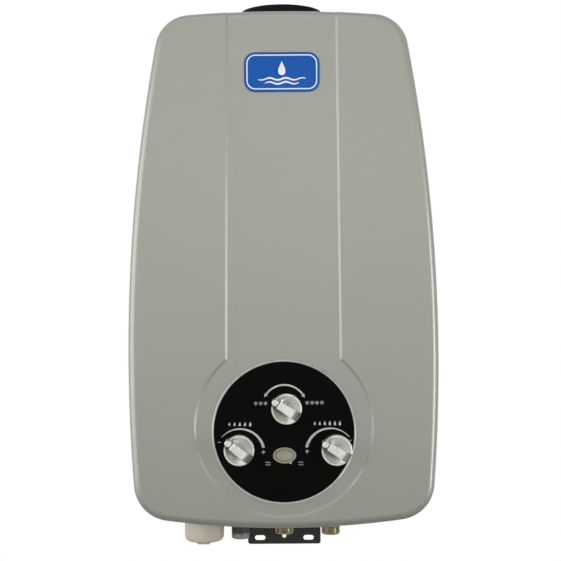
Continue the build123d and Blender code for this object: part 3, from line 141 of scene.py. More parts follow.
class Graph:
    """Node tree of a material or of the world, with one shader."""

    def __init__(
        self,
        owner: Union[bpy.types.Material, bpy.types.World],
        shader: str = "ShaderNodeBsdfPrincipled",
        output: str = "ShaderNodeOutputMaterial",
    ) -> None:
        """Start a tree.

        Args:
            owner: Material or world.
            shader: Type of its shader.
            output: Type of its output.
        """
        owner.use_nodes = True
        self.owner = owner
        self.tree = owner.node_tree
        self.tree.nodes.clear()
        self.shader = self.tree.nodes.new(shader)
        self.tree.links.new(self.shader.outputs[0], self.tree.nodes.new(output).inputs[0])

    @classmethod
    def named(cls, name: str) -> "Graph":
        """Tree of a new material."""
        return cls(bpy.data.materials.new(name))

    def node(
        self,
        kind: str,
        settings: Optional[dict] = None,
        inputs: Optional[dict] = None,
        out: Union[int, str] = 0,
    ) -> Link:
        """Add a node.

        Args:
            kind: Blender's type of the node.
            settings: Attributes that are set first.
            inputs: Values or links by socket name or index.
            out: Output that the link stands for.

        Returns:
            A link from that output.
        """
        made = self.tree.nodes.new(kind)
        for name, value in (settings or {}).items():
            setattr(made, name, value)
        for name, value in (inputs or {}).items():
            self.feed(made.inputs[name], value)
        return Link(self, made.outputs[out])

    def feed(self, socket: bpy.types.NodeSocket, value: Feed) -> None:
        """Link a socket, or set it where the value is a number, a vector or a colour."""
        if isinstance(value, Link):
            self.tree.links.new(value.socket, socket)
        elif isinstance(value, (int, float)):
            socket.default_value = value
        else:
            full = tuple(value)
            socket.default_value = full if len(full) == len(socket.default_value) else full + (OPAQUE,)

    def place(self, **sockets: Feed) -> Union[bpy.types.Material, bpy.types.World]:
        """Feed the shader.

        Args:
            sockets: Values by socket name, with spaces written as underscores.

        Returns:
            The finished material or world.
        """
        for name, value in sockets.items():
            self.feed(self.shader.inputs[name.replace("_", " ")], value)
        return self.owner

    def spot(self, stretch: Solid = EVEN) -> Link:
        """Place on the object in metres, stretched along its axes."""
        place = self.node("ShaderNodeTexCoord", out="Object")
        if stretch == EVEN:
            return place
        return self.node("ShaderNodeVectorMath", {"operation": "MULTIPLY"}, {0: place, 1: stretch})

    def axis(self, name: str) -> Link:
        """Place along one axis in metres."""
        return self.node("ShaderNodeSeparateXYZ", None, {0: self.spot()}, name)

    @lru_cache(maxsize=None)
    def noise(self, grain: Grain) -> Link:
        """Level of a noise, around one half, made once in a tree."""
        inputs = {"Vector": self.spot(grain.stretch), "Scale": grain.scale, "Detail": grain.detail}
        if grain.pattern is Pattern.CELLS:
            level = self.node("ShaderNodeRGBToBW", None, {0: self.node(grain.pattern.value, None, inputs, "Color")})
        else:
            level = self.node(grain.pattern.value, None, inputs)
        return level.step(*grain.eased) if grain.eased else level

    def blend(self, low: Union[Link, Colour], high: Union[Link, Colour], factor: Link) -> Link:
        """Colour between one at 0 and another at 1."""
        inputs = {MIX_FACTOR: factor, MIX_LOW: low, MIX_HIGH: high}
        return self.node("ShaderNodeMix", {"data_type": "RGBA"}, inputs, MIX_RESULT)

    def bump(self, height: Link, depth: float, share: float) -> Link:
        """Normal from a height, with the depth in metres that a height of 1 stands for."""
        return self.node("ShaderNodeBump", None, {"Height": height, "Distance": depth, "Strength": share})

    def seen(self) -> Link:
        """1 where the camera, a mirror or a glass looks, and 0 for other light."""
        camera, *others = (
            self.node("ShaderNodeLightPath", out=f"Is {kind} Ray") for kind in ("Camera", "Glossy", "Transmission")
        )
        for other in others:
            camera = camera.at_least(other)
        return camera


def shade(colour: Colour, factor: float) -> Colour:
    """Linear colour made lighter or darker."""
    return tuple(min(1.0, channel * factor) for channel in colour)


Shares = tuple[tuple[Grain, float], ...]

FINE_LINES = Grain(900.0, 3.0)
UPRIGHT_LINES = Grain(900.0, 3.0, stretch=(1.0, 1.0, 0.2))
DEPTH_LINES = Grain(900.0, 3.0, stretch=(1.0, 0.2, 1.0))
PATCHES = Grain(60.0, 4.0, (0.35, 0.7))
STAINS = Grain(70.0, 4.0, (0.4, 0.75))
CAST_SKIN = Grain(1400.0, 3.0)
SPANGLE = Grain(130.0, 0.0, pattern=Pattern.CELLS)
ZINC_SKIN = Grain(700.0, 2.0)
HANDLING = Grain(55.0, 4.0, (0.35, 0.75))
WEAR = Grain(600.0, 3.0, (0.25, 0.6))
SOFT_RADIUS = (0.004, 0.003, 0.002)


@dataclass(frozen=True)
class PaintedShadow:
    """Painted shadow of the casing on a stub, darker where it meets the casing, with a ragged edge."""

    share: float
    dark: float = 0.08
    edge: Flat = (-0.2955, -0.2925)
    ragged: float = 0.003
    grain: Grain = Grain(300.0, 3.0)

    def over(self, graph: Graph, base: Link, colour: Colour) -> Link:
        """Clean colour with the painted shadow over it."""
        height = graph.axis("Z") + graph.noise(self.grain).swing(self.ragged)
        return graph.blend(base, shade(colour, self.dark), height.step(*self.edge) * self.share)


@dataclass(frozen=True)
class Surface:
    """Finish whose colour, gloss and relief follow noises, each with its share or width.

    Its spread is a pair of factors on the colour, and more holds values for other sockets.
    """

    name: str
    colour: Colour
    roughness: float
    spread: Flat
    tones: Shares
    dulling: Shares
    metallic: float = 0.0
    specular: float = 0.5
    relief: Optional[Grain] = None
    depth: float = 0.0
    relief_share: float = 0.3
    # Painted shadow of the casing, used on the stubs under it.
    painted_shadow: Optional[PaintedShadow] = None
    more: tuple[tuple[str, Feed], ...] = ()

    def base(self, graph: Graph) -> Link:
        """Colour with its spread and its painted shadow."""
        low, high = (shade(self.colour, factor) for factor in self.spread)
        base = graph.blend(low, high, sum(graph.noise(grain) * share for grain, share in self.tones))
        return self.painted_shadow.over(graph, base, self.colour) if self.painted_shadow else base

    def build(self) -> bpy.types.Material:
        """Make the material."""
        graph = Graph.named(self.name)
        sockets = dict(self.more)
        if self.relief:
            sockets["Normal"] = graph.bump(graph.noise(self.relief), self.depth, self.relief_share)
        return graph.place(
            Base_Color=self.base(graph),
            Roughness=sum((graph.noise(grain).swing(width) for grain, width in self.dulling), self.roughness),
            Metallic=self.metallic,
            Specular_IOR_Level=self.specular,
            **sockets,
        )


@dataclass(frozen=True)
class Enamel(Surface):
    """Sprayed and baked paint with a fine metallic flake and a little orange peel."""

    roughness: float = 0.4
    spread: Flat = (0.91, 1.09)
    tones: Shares = ((Grain(2600.0, 1.0, (0.3, 0.7)), 0.65), (Grain(9.0, 3.0), 0.35))
    dulling: Shares = ((Grain(45.0, 4.0), 0.12),)
    relief: Grain = Grain(420.0, 2.0)
    depth: float = 0.0001
    relief_share: float = 0.35


@dataclass(frozen=True)
class Metal(Surface):
    """Bare or plated metal with fine lines and dull patches."""

    roughness: float = 0.35
    spread: Flat = (0.88, 1.048)
    tones: Shares = ((PATCHES, 1.0),)
    dulling: Shares = ((FINE_LINES, 0.2), (PATCHES, 0.1))
    metallic: float = 1.0
    relief: Grain = FINE_LINES
    depth: float = 0.000048


@dataclass(frozen=True)
class Drawn(Metal):
    """Metal with lines along its height."""

    dulling: Shares = ((UPRIGHT_LINES, 0.2), (PATCHES, 0.1))
    relief: Grain = UPRIGHT_LINES


@dataclass(frozen=True)
class Rolled(Metal):
    """Metal with lines along its depth."""

    dulling: Shares = ((DEPTH_LINES, 0.2), (PATCHES, 0.1))
    relief: Grain = DEPTH_LINES


@dataclass(frozen=True)
class KnobPlate(Metal):
    """Plated knob with painted shade at the foot of its grip bar, most near the pointer, and a painted darker far
    end.
    """

    colour: Colour = (0.66, 0.66, 0.62)
    roughness: float = 0.28
    spread: Flat = (0.94, 1.03)
    metallic: float = 0.6
    depth: float = 0.00004
    centre: Flat = (0.0, 0.0)
    pointer: float = 0.0
    bar_start: float = 0.010
    bar_half: float = 0.0042
    bar_taper: float = 0.0385
    bar_edge: Flat = (-0.0004, 0.0002)
    foot_edge: Flat = (-0.0002, 0.0004)
    foot_reach: float = 0.0075
    along_edge: Flat = (-0.012, 0.005)
    far_edge: Flat = (-0.0125, -0.0085)
    # Painted shade: how dark it is, its shares at the bar's foot below and above the bar, and its share at the far
    # end.
    dark: float = 0.12
    below: float = 0.96
    above: float = 0.45
    far: float = 0.6

    def base(self, graph: Graph) -> Link:
        """Plating with its painted shade at the foot of the grip bar and at its far end."""
        x, z = graph.axis("X") - self.centre[0], graph.axis("Z") - self.centre[1]
        c, s = math.cos(math.radians(self.pointer)), math.sin(math.radians(self.pointer))
        along, away = x * c + z * s, z * c - x * s
        half = self.bar_half + (self.bar_start - along) * self.bar_taper
        bar = 1.0 - (away.at_least(0.0 - away) - half).step(*self.bar_edge)
        # Painted shade darkens the bar's far end, then the face along both feet of the bar.
        painted_shade = (1.0 - along.step(*self.far_edge)) * bar * self.far
        for side, share in ((away, self.below), (0.0 - away, self.above)):
            foot = side - half
            fade = (1.0 - foot.step(0.0, self.foot_reach)) * along.step(*self.along_edge)
            painted_shade = painted_shade + foot.step(*self.foot_edge) * fade * share
        return graph.blend(super().base(graph), shade(self.colour, self.dark), painted_shade)


@dataclass(frozen=True)
class Cast(Surface):
    """Die-cast metal with a grainy skin."""

    roughness: float = 0.55
    spread: Flat = (0.8, 1.12)
    tones: Shares = ((STAINS, 0.7), (CAST_SKIN, 0.3))
    dulling: Shares = ((STAINS, 0.15),)
    metallic: float = 0.85
    relief: Grain = CAST_SKIN
    depth: float = 0.00012
    relief_share: float = 0.4


@dataclass(frozen=True)
class Zinc(Surface):
    """Galvanised sheet with its spangle."""

    roughness: float = 0.43
    spread: Flat = (0.82, 1.12)
    tones: Shares = ((SPANGLE, 0.8), (ZINC_SKIN, 0.2))
    dulling: Shares = ((SPANGLE, 0.18),)
    metallic: float = 0.9
    relief: Grain = ZINC_SKIN
    depth: float = 0.00004


@dataclass(frozen=True)
class Plastic(Surface):
    """Moulded plastic with a fine spark-eroded texture and faint handling marks."""

    roughness: float = 0.45
    spread: Flat = (0.94, 1.06)
    tones: Shares = ((HANDLING, 1.0),)
    dulling: Shares = ((HANDLING, 0.12),)
    relief: Grain = Grain(1800.0, 2.0)
    depth: float = 0.00004
    relief_share: float = 0.35


@dataclass(frozen=True)
class Ink(Surface):
    """Screen print, a little worn and uneven."""

    roughness: float = 0.55
    spread: Flat = (0.86, 1.0)
    tones: Shares = ((WEAR, 1.0),)
    dulling: Shares = ((WEAR, 0.1),)


def soft(share: float) -> tuple[tuple[str, Feed], ...]:
    """Sockets of a plastic that lets some light in."""
    return (("Subsurface_Weight", share), ("Subsurface_Radius", SOFT_RADIUS), ("Subsurface_Scale", 1.0))


class Finish(Enum):
    """Every finish of the heater."""

    COVER = Enamel(
        "silver_grey_enamel",
        (0.276, 0.282, 0.250),
        0.42,
        (0.93, 1.07),
        metallic=0.45,
        more=(("Coat_Weight", 0.4), ("Coat_Roughness", 0.12)),
    )
    BLACK_ENAMEL = Enamel("bracket_enamel", (0.020, 0.020, 0.018), 0.5, (0.75, 1.25), specular=0.25)
    FLUE_ENAMEL = Enamel("flue_enamel", (0.005, 0.006, 0.007), 0.6, (0.75, 1.25), specular=0.06)
    BADGE = Enamel("badge_enamel", (0.004, 0.078, 0.36), 0.35, (0.93, 1.07), depth=0.00004, specular=0.12)
    PANEL = Plastic("panel_gloss", (0.0015, 0.0015, 0.0014), 0.12, (0.88, 1.12), depth=0.000002, specular=0.04)
    BEZEL = Metal("bezel_plate", (0.45, 0.45, 0.43), 0.3, (0.95, 1.02))
    # The knob plates carry painted shade at the foot of the grip bar and a painted darker far end.
    GAS_KNOB = KnobPlate("gas_knob_plate", centre=(-0.0472, -0.1898), pointer=142.0)
    WATER_KNOB = KnobPlate("water_knob_plate", centre=(0.0553, -0.1901), pointer=148.0)
    SEASON_KNOB = KnobPlate("season_knob_plate", centre=(0.0029, -0.1466), pointer=147.0)
    CAP = Plastic("cap_cream_plastic", (0.67, 0.585, 0.485), 0.42, depth=0.00003, specular=0.45, more=soft(0.2))
    BRASS = Drawn("turned_brass", (0.52, 0.43, 0.29), 0.27, (0.75, 1.10))
    # The brass stubs carry a painted shadow of the casing over their upper part.
    STUB_BRASS = Drawn("stub_brass", (0.60, 0.50, 0.34), 0.25, (0.75, 1.10), painted_shadow=PaintedShadow(0.4))
    COPPER = Drawn("bare_copper", (0.55, 0.26, 0.14), 0.36, (0.78, 1.088))
    # The gas stub carries a stronger painted shadow of the casing over its upper part.
    GREY_CAST = Cast("grey_stub_cast", (0.37, 0.37, 0.35), 0.45, painted_shadow=PaintedShadow(0.75))
    PALE_CAST = Cast("pale_valve_cast", (0.50, 0.50, 0.48))
    ZINC = Zinc("zinc_sheet", (0.55, 0.56, 0.56))
    SCREW = Metal("screw_plate", (0.50, 0.50, 0.50), 0.38)
    BURNER = Rolled("burner_sheet", (0.36, 0.33, 0.30), 0.45, (0.7, 1.12))
    RUBBER = Plastic("black_rubber", (0.015, 0.015, 0.015), 0.8, depth=0.00008, specular=0.3)
    BLACK_PLASTIC = Plastic("housing_plastic", (0.02, 0.02, 0.02), 0.5)
    CERAMIC = Plastic("white_ceramic", (0.78, 0.75, 0.68), 0.3, depth=0.00001, more=soft(0.1))
    CELL = Enamel("cell_sleeve", (0.03, 0.05, 0.09), 0.35, metallic=0.3)
    WIRE = Plastic("wire_silicone", (0.32, 0.03, 0.02), 0.6, depth=0.00003)
    DISPLAY_RIM = Plastic("display_rim", (0.27, 0.265, 0.22), 0.35)
    DISPLAY_GLASS = Plastic("display_glass", (0.33, 0.32, 0.245), 0.14, depth=0.000002, specular=0.2)
    PRINT = Ink("panel_ink", (0.50, 0.50, 0.49))
    DARK_PRINT = Ink("display_ink", (0.10, 0.10, 0.075))
    WHITE_PRINT = Ink("badge_ink", (0.74, 0.78, 0.82))

    @lru_cache(maxsize=None)
    def material(self) -> bpy.types.Material:
        """The finish's material, made at its first use."""
        return self.value.build()


def dress(finish: Finish, *nodes: str) -> None:
    """Give carried-over nodes a finish."""
    for name in nodes:
        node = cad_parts[name]
        if not node.material_slots:
            node.data.materials.append(None)
        for slot in node.material_slots:
            slot.material = finish.material()
        log.info("dressed %s in %s", name, finish.value.name)


def on_circle(centre: Flat, radius: float, angle: float) -> Flat:
    """Point on a circle, by its angle in radians."""
    return (centre[0] + radius * math.cos(angle), centre[1] + radius * math.sin(angle))


def arc(centre: Flat, radius: float, start: float, end: float, count: int) -> list[Flat]:
    """Points on an arc.

    Args:
        centre: Its centre.
        radius: Its radius.
        start: First angle in degrees.
        end: Last angle in degrees.
        count: Number of points.

    Returns:
        The points.
    """
    return [on_circle(centre, radius, angle) for angle in np.radians(np.linspace(start, end, count))]


def circle(centre: Flat, radius: Union[float, Sequence[float]], count: int) -> list[Flat]:
    """Points around a circle, or around a loop with a radius at each point."""
    angles = np.radians(np.linspace(0.0, 360.0 - 360.0 / count, count))
    return [on_circle(centre, reach, angle) for reach, angle in zip(np.broadcast_to(radius, count), angles)]


def runs_from(centre: Flat, spots: np.ndarray) -> tuple[np.ndarray, np.ndarray]:
    """Distances of spots from a centre, and their unit directions."""
    run = spots - np.array(centre)
    length = np.linalg.norm(run, axis=1) + NEAR_ZERO
    return length, run / length[:, None]


def folded(spots: np.ndarray) -> tuple[np.ndarray, np.ndarray]:
    """Spots laid over to the right-hand side, and the sign of the side that each comes from."""
    return np.stack([np.abs(spots[:, 0]), spots[:, 1]], 1), np.where(spots[:, 0] < 0, -1.0, 1.0)


def teardrop(x: float, z: float, size: float, lean: float = 0.0, count: int = 36) -> list[Flat]:
    """Outline of a drop, or of a flame where its tip leans.

    Args:
        x: Middle of the sign.
        z: Its height.
        size: Half its height.
        lean: Lean of the tip, as a share of the size.
        count: Number of points.

    Returns:
        Points in counter-clockwise order.
    """
    waist, taper = 0.72, 1.6
    points = []
    for turn in (TURN * index / count for index in range(count)):
        side = waist * math.sin(turn) * math.sin(turn / 2) ** taper
        height = math.cos(turn)
        points.append((x - size * side + lean * size * max(0.0, height) ** 2, z + size * height))
    return points


def unit(value: float) -> float:
    """Value held between 0 and 1."""
    return min(1.0, max(0.0, value))


def stand(name: str, data: bpy.types.ID) -> bpy.types.Object:
    """New object in the scene."""
    made = bpy.data.objects.new(name, data)
    bpy.context.scene.collection.objects.link(made)
    return made


def mesh_of(name: str, points: Iterable[Solid], faces: Sequence[Face]) -> bpy.types.Mesh:
    """Mesh from points in millimetres as x, depth from the wall and height."""
    mesh = bpy.data.meshes.new(name)
    mesh.from_pydata([(x * MM, -depth * MM, z * MM) for x, depth, z in points], [], faces)
    return mesh


def settle(name: str, mesh: bpy.types.Mesh, finish: Finish, slot: str, body: str = BODY) -> bpy.types.Object:
    """Make a piece and let it ride.

    Args:
        name: Name of the piece.
        mesh: Its mesh.
        finish: Its finish.
        slot: The record's material slot; not used.
        body: Body that it rides on.

    Returns:
        The object.
    """
    made = stand(name, mesh)
    mesh.materials.append(finish.material())
    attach(made, body)
    log.info("built %s with %d faces", name, len(mesh.polygons))
    return made


def tidy_mesh(mesh: bpy.types.Mesh, smooth: float) -> None:
    """Turn all faces outward and shade them smooth up to an angle in degrees."""
    work = bmesh.new()
    work.from_mesh(mesh)
    bmesh.ops.remove_doubles(work, verts=work.verts, dist=MERGE)
    bmesh.ops.recalc_face_normals(work, faces=work.faces)
    for edge in work.edges:
        edge.smooth = len(edge.link_faces) == 2 and edge.calc_face_angle(0.0) < math.radians(smooth)
    for face in work.faces:
        face.smooth = True
    work.to_mesh(mesh)
    work.free()


@dataclass
class Sheet:
    """Mesh under construction, in millimetres as x, depth from the wall and height."""

    points: list[Solid] = field(default_factory=list)
    faces: list[Face] = field(default_factory=list)

    def add(self, points: Iterable[Solid]) -> list[int]:
        """Add points and hand over their numbers."""
        start = len(self.points)
        self.points.extend(points)
        return list(range(start, len(self.points)))

    def bridge(self, first: Sequence[int], second: Sequence[int], closed: bool = True) -> None:
        """Join two rows of equal length by quads, all round where the rows are loops."""
        count = len(first)
        for index in range(count if closed else count - 1):
            after = (index + 1) % count
            self.faces.append((first[index], first[after], second[after], second[index]))

    def lathe(self, axis: Flat, profile: Sequence[tuple[Union[float, Sequence[float]], float]], count: int) -> None:
        """Closed ring of loops about an upright axis, the last one joined to the first.

        Args:
            axis: Its x and depth.
            profile: Radius, or the radius at each point, and height of each loop.
            count: Points of a loop.
        """
        loops = [self.add((x, depth, z) for x, depth in circle(axis, reach, count)) for reach, z in profile]
        for loop, after in zip(loops, loops[1:] + loops[:1]):
            self.bridge(loop, after)

    def plate(self, outline: Sequence[Flat], back: float, front: float) -> None:
        """Flat plate from a front-view outline, between two depths."""
        rear, face = (self.add((x, depth, z) for x, z in outline) for depth in (back, front))
        self.bridge(rear, face)
        self.faces += [tuple(face), tuple(rear[::-1])]

    def band(self, left: Sequence[Flat], right: Sequence[Flat], back: float, front: float) -> None:
        """Flat band between two front-view lines of equal length, and between two depths."""
        lines = ((left, back), (left, front), (right, front), (right, back))
        rows = [self.add((x, depth, z) for x, z in line) for line, depth in lines]
        for row, after in zip(rows, rows[1:] + rows[:1]):
            self.bridge(row, after, closed=False)
        self.faces += [tuple(row[0] for row in rows), tuple(row[-1] for row in rows)[::-1]]

    def build(self, name: str, finish: Finish, slot: str, body: str = BODY, smooth: float = 35.0) -> bpy.types.Object:
        """Make the piece, shaded smooth up to an angle in degrees."""
        mesh = mesh_of(name, self.points, self.faces)
        tidy_mesh(mesh, smooth)
        return settle(name, mesh, finish, slot, body)


@dataclass
class Stencil:
    """Thin print on a flat front."""

    face: float
    ink: float
    sheet: Sheet = field(default_factory=Sheet)

    def patch(self, outline: Sequence[Flat]) -> None:
        """Filled patch."""
        self.sheet.plate(outline, self.face, self.face + self.ink)

    def stripe(self, left: Sequence[Flat], right: Sequence[Flat]) -> None:
        """Stripe between two lines."""
        self.sheet.band(left, right, self.face, self.face + self.ink)

    def wave(self, xs: Sequence[float], heights: Sequence[float], pens: Sequence[float]) -> None:
        """Line from left to right, with a height and a width at each x."""
        left, right = ([(x, z + way * pen / 2) for x, z, pen in zip(xs, heights, pens)] for way in (-1, 1))
        self.stripe(left, right)

    def stroke(self, start: Flat, end: Flat, width: float) -> None:
        """Straight stroke."""
        a, b = Vector(start), Vector(end)
        side = (b - a).orthogonal().normalized() * width / 2
        self.patch([tuple(corner) for corner in (a - side, b - side, b + side, a + side)])

    def sweep(self, centre: Flat, radius: float, span: Flat, widths: Flat, count: int = 49) -> None:
        """Round scale with a width that changes along it, over a span in degrees."""
        turns = np.radians(np.linspace(*span, count))
        pens = np.linspace(*widths, count)
        left, right = (
            [on_circle(centre, radius + way * pen / 2, turn) for turn, pen in zip(turns, pens)] for way in (-1, 1)
        )
        self.stripe(left, right)


@dataclass(frozen=True)
class Bow:
    """One arc of the casing outline, with the angles of its points."""

    centre: Flat
    radius: float
    angles: Sequence[float]
    corner: bool = False

    def points(self, inset_by: float) -> list[Flat]:
        """The arc's points, drawn in by a distance."""
        return [on_circle(self.centre, self.radius - inset_by, angle) for angle in self.angles]

    def spans(self, spots: np.ndarray) -> np.ndarray:
        """Whether spots lie between the arc's first and last angle."""
        angle = np.arctan2(spots[:, 1] - self.centre[1], spots[:, 0] - self.centre[0])
        return (angle <= self.angles[0]) & (angle >= self.angles[-1])


@dataclass
class CasingOutline:
    """Front outline of the casing: four shallow arcs with rounded corners."""

    half_height: float = 275.0
    half_width: float = 165.0
    widest_z: float = -96.525
    top_half: float = 128.601
    top_drop: float = 6.8
    bottom_half: float = 157.2945
    bottom_rise: float = 13.3
    top_corner: float = 38.0
    bottom_corner: float = 40.0
    top_marks: Sequence[float] = ()
    bottom_marks: Sequence[float] = ()
    top_points: int = 26
    bottom_points: int = 30
    corner_points: int = 17
    side_points: int = 61
    clear: float = 0.7

    def __post_init__(self) -> None:
        """Work out the arcs of the right-hand half."""
        self.top_radius = (self.top_half**2 + self.top_drop**2) / (2 * self.top_drop)
        self.low_radius = (self.bottom_half**2 + self.bottom_rise**2) / (2 * self.bottom_rise)
        self.top_centre = (0.0, self.half_height - self.top_radius)
        self.low_centre = (0.0, self.low_radius - self.half_height)
        self.side_centre, self.side_radius = self._side()
        upper = self._corner(self.top_centre, self.top_radius, self.top_corner, 1)
        lower = self._corner(self.low_centre, self.low_radius, self.bottom_corner, -1)
        top_end, low_start = self._angle(self.top_centre, upper), self._angle(self.low_centre, lower)
        side_start, side_end = (self._angle(self.side_centre, corner) for corner in (upper, lower))
        top = self._marked(QUARTER, top_end, self.top_points, self.top_marks, self.top_radius)
        low = self._marked(low_start, -QUARTER, self.bottom_points, self.bottom_marks, self.low_radius)
        side = np.linspace(side_start, side_end, self.side_points)
        self.ends_and_side = [
            Bow(self.top_centre, self.top_radius, top),
            Bow(self.side_centre, self.side_radius, side),
            Bow(self.low_centre, self.low_radius, low),
        ]
        self.corners = [
            Bow(upper, self.top_corner, np.linspace(top_end, side_start, self.corner_points), True),
            Bow(lower, self.bottom_corner, np.linspace(side_end, low_start, self.corner_points), True),
        ]

    def _side(self) -> tuple[Flat, float]:
        """Centre and radius of the right-hand side's arc."""
        a = Vector((self.top_half, self.half_height - self.top_drop))
        b = Vector((self.half_width, self.widest_z))
        c = Vector((self.bottom_half, self.bottom_rise - self.half_height))
        d = 2 * (a.x * (b.y - c.y) + b.x * (c.y - a.y) + c.x * (a.y - b.y))
        aa, bb, cc = a.length_squared, b.length_squared, c.length_squared
        x = (aa * (b.y - c.y) + bb * (c.y - a.y) + cc * (a.y - b.y)) / d
        z = (aa * (c.x - b.x) + bb * (a.x - c.x) + cc * (b.x - a.x)) / d
        return (x, z), math.hypot(a.x - x, a.y - z)

    def _corner(self, centre: Flat, radius: float, corner: float, up: int) -> Flat:
        """Centre of the corner between an end arc and the side."""
        (x0, z0), r0 = centre, radius - corner
        (x1, z1), r1 = self.side_centre, self.side_radius - corner
        gap = math.hypot(x1 - x0, z1 - z0)
        along = (r0**2 - r1**2 + gap**2) / (2 * gap)
        across = math.sqrt(max(0.0, r0**2 - along**2))
        ux, uz = (x1 - x0) / gap, (z1 - z0) / gap
        spots = [(x0 + along * ux - s * across * uz, z0 + along * uz + s * across * ux) for s in (-1, 1)]
        return max(spots, key=lambda spot: spot[0] + up * spot[1])

    @staticmethod
    def _angle(centre: Flat, spot: Flat) -> float:
        """Angle of a spot about a centre."""
        return math.atan2(spot[1] - centre[1], spot[0] - centre[0])

    def _marked(self, start: float, end: float, count: int, marks: Sequence[float], radius: float) -> list[float]:
        """Even angles together with those at given x values."""
        sign = 1.0 if start + end > 0 else -1.0
        wanted = [sign * math.acos(mark / radius) for mark in marks]
        inside = [a for a in wanted if min(start, end) < a < max(start, end)]
        angles = list(np.linspace(start, end, count))
        kept = [a for a in angles[1:-1] if all(abs(a - b) * radius > self.clear for b in inside)]
        return sorted([angles[0], *kept, *inside, angles[-1]], reverse=start > end)

    def top(self, x: float) -> float:
        """Height of the top arc at an x."""
        return self.top_centre[1] + math.sqrt(self.top_radius**2 - x**2)

    def ring(self, inset_by: float) -> list[Flat]:
        """Points around the outline, drawn in by a distance, clockwise from the top."""
        (top, side, low), (upper, lower) = self.ends_and_side, self.corners
        right = top.points(inset_by)
        for bow in (upper, side, lower, low):
            right += bow.points(inset_by)[1:]
        return right + [(-x, z) for x, z in right[-2:0:-1]]

    def inside(self, spots: np.ndarray) -> tuple[np.ndarray, np.ndarray]:
        """Distance of spots from the outline, and the outward direction there.

        Args:
            spots: Array of x and height.

        Returns:
            Distances, positive inside, and unit directions.
        """
        p, mirror = folded(spots)
        best, way = np.full(len(p), np.inf), np.zeros_like(p)
        for bow in self.ends_and_side + self.corners:
            length, out = runs_from(bow.centre, p)
            gap = bow.radius - length
            pick = bow.spans(p) if bow.corner else gap < best
            best, way = np.where(pick, gap, best), np.where(pick[:, None], out, way)
        way[:, 0] *= mirror
        return best, way


@dataclass
class Keyhole:
    """Recess of the cover: a band from the top that runs into a circle."""

    circle_z: float = -167.4
    radius: float = 92.7
    corner: float = 5.5
    top_half: float = 56.7
    low_half: float = 59.8
    top_z: float = 276.0
    low_z: float = -171.8
    rounds: int = 40
    band_points: int = 90
    bend_points: int = 9
    circle_points: int = 120
    bend_zone: float = -3.0

    def __post_init__(self) -> None:
        """Work out the rounding between the band and the circle."""
        self.lean = (self.low_half - self.top_half) / (self.top_z - self.low_z)
        self.scale = math.sqrt(1 + self.lean**2)
        reach = self.radius + self.corner
        z = self.circle_z
        for _ in range(self.rounds):
            x = self.half(z) + self.corner * self.scale
            z = self.circle_z + math.sqrt(reach**2 - x**2)
        self.round_centre = (x, z)
        self.touch_angle = math.atan2(z - self.circle_z, x)

    def half(self, z: float) -> float:
        """Half the band's width at a height."""
        return self.top_half + (self.top_z - z) * self.lean

    def line(self, grow: float, end_z: Callable[[float], float]) -> list[Flat]:
        """Line at a distance outside the recess, from the top left round to the top right.

        Args:
            grow: Distance.
            end_z: Height where the band's line ends, from its x there.

        Returns:
            The points.
        """
        top = end_z(self.half(self.top_z) + grow)
        touch = math.degrees(self.touch_angle)
        band = [(self.half(z) + grow, z) for z in np.linspace(top, self.round_centre[1], self.band_points)]
        bend = arc(self.round_centre, self.corner - grow, 180.0, 180.0 + touch, self.bend_points)
        swing = arc((0.0, self.circle_z), self.radius + grow, touch, -90.0, self.circle_points)
        right = band + bend[1:] + swing[1:]
        return [(-x, z) for x, z in right] + right[-2::-1]

    def outside(self, spots: np.ndarray) -> tuple[np.ndarray, np.ndarray]:
        """Distance of spots outside the recess, and the direction away from it.

        Args:
            spots: Array of x and height.

        Returns:
            Distances, negative inside, and unit directions.
        """
        p, mirror = folded(spots)
        x, z = p.T
        band = np.where(z > self.circle_z, x - self.half(z), np.inf)
        length, out = runs_from((0.0, self.circle_z), p)
        disc = length - self.radius
        gap = np.minimum(band, disc)
        way = np.where((band < disc)[:, None], np.array([1.0, self.lean]) / self.scale, out)
        cx, cz = self.round_centre
        near = (np.arctan2(z - self.circle_z, x) > self.touch_angle) & (z < cz) & (x < cx) & (gap > self.bend_zone)
        reach, back = runs_from(self.round_centre, p)
        gap = np.where(near, self.corner - reach, gap)
        way = np.where(near[:, None], -back, way)
        way[:, 0] *= mirror
        return gap, way


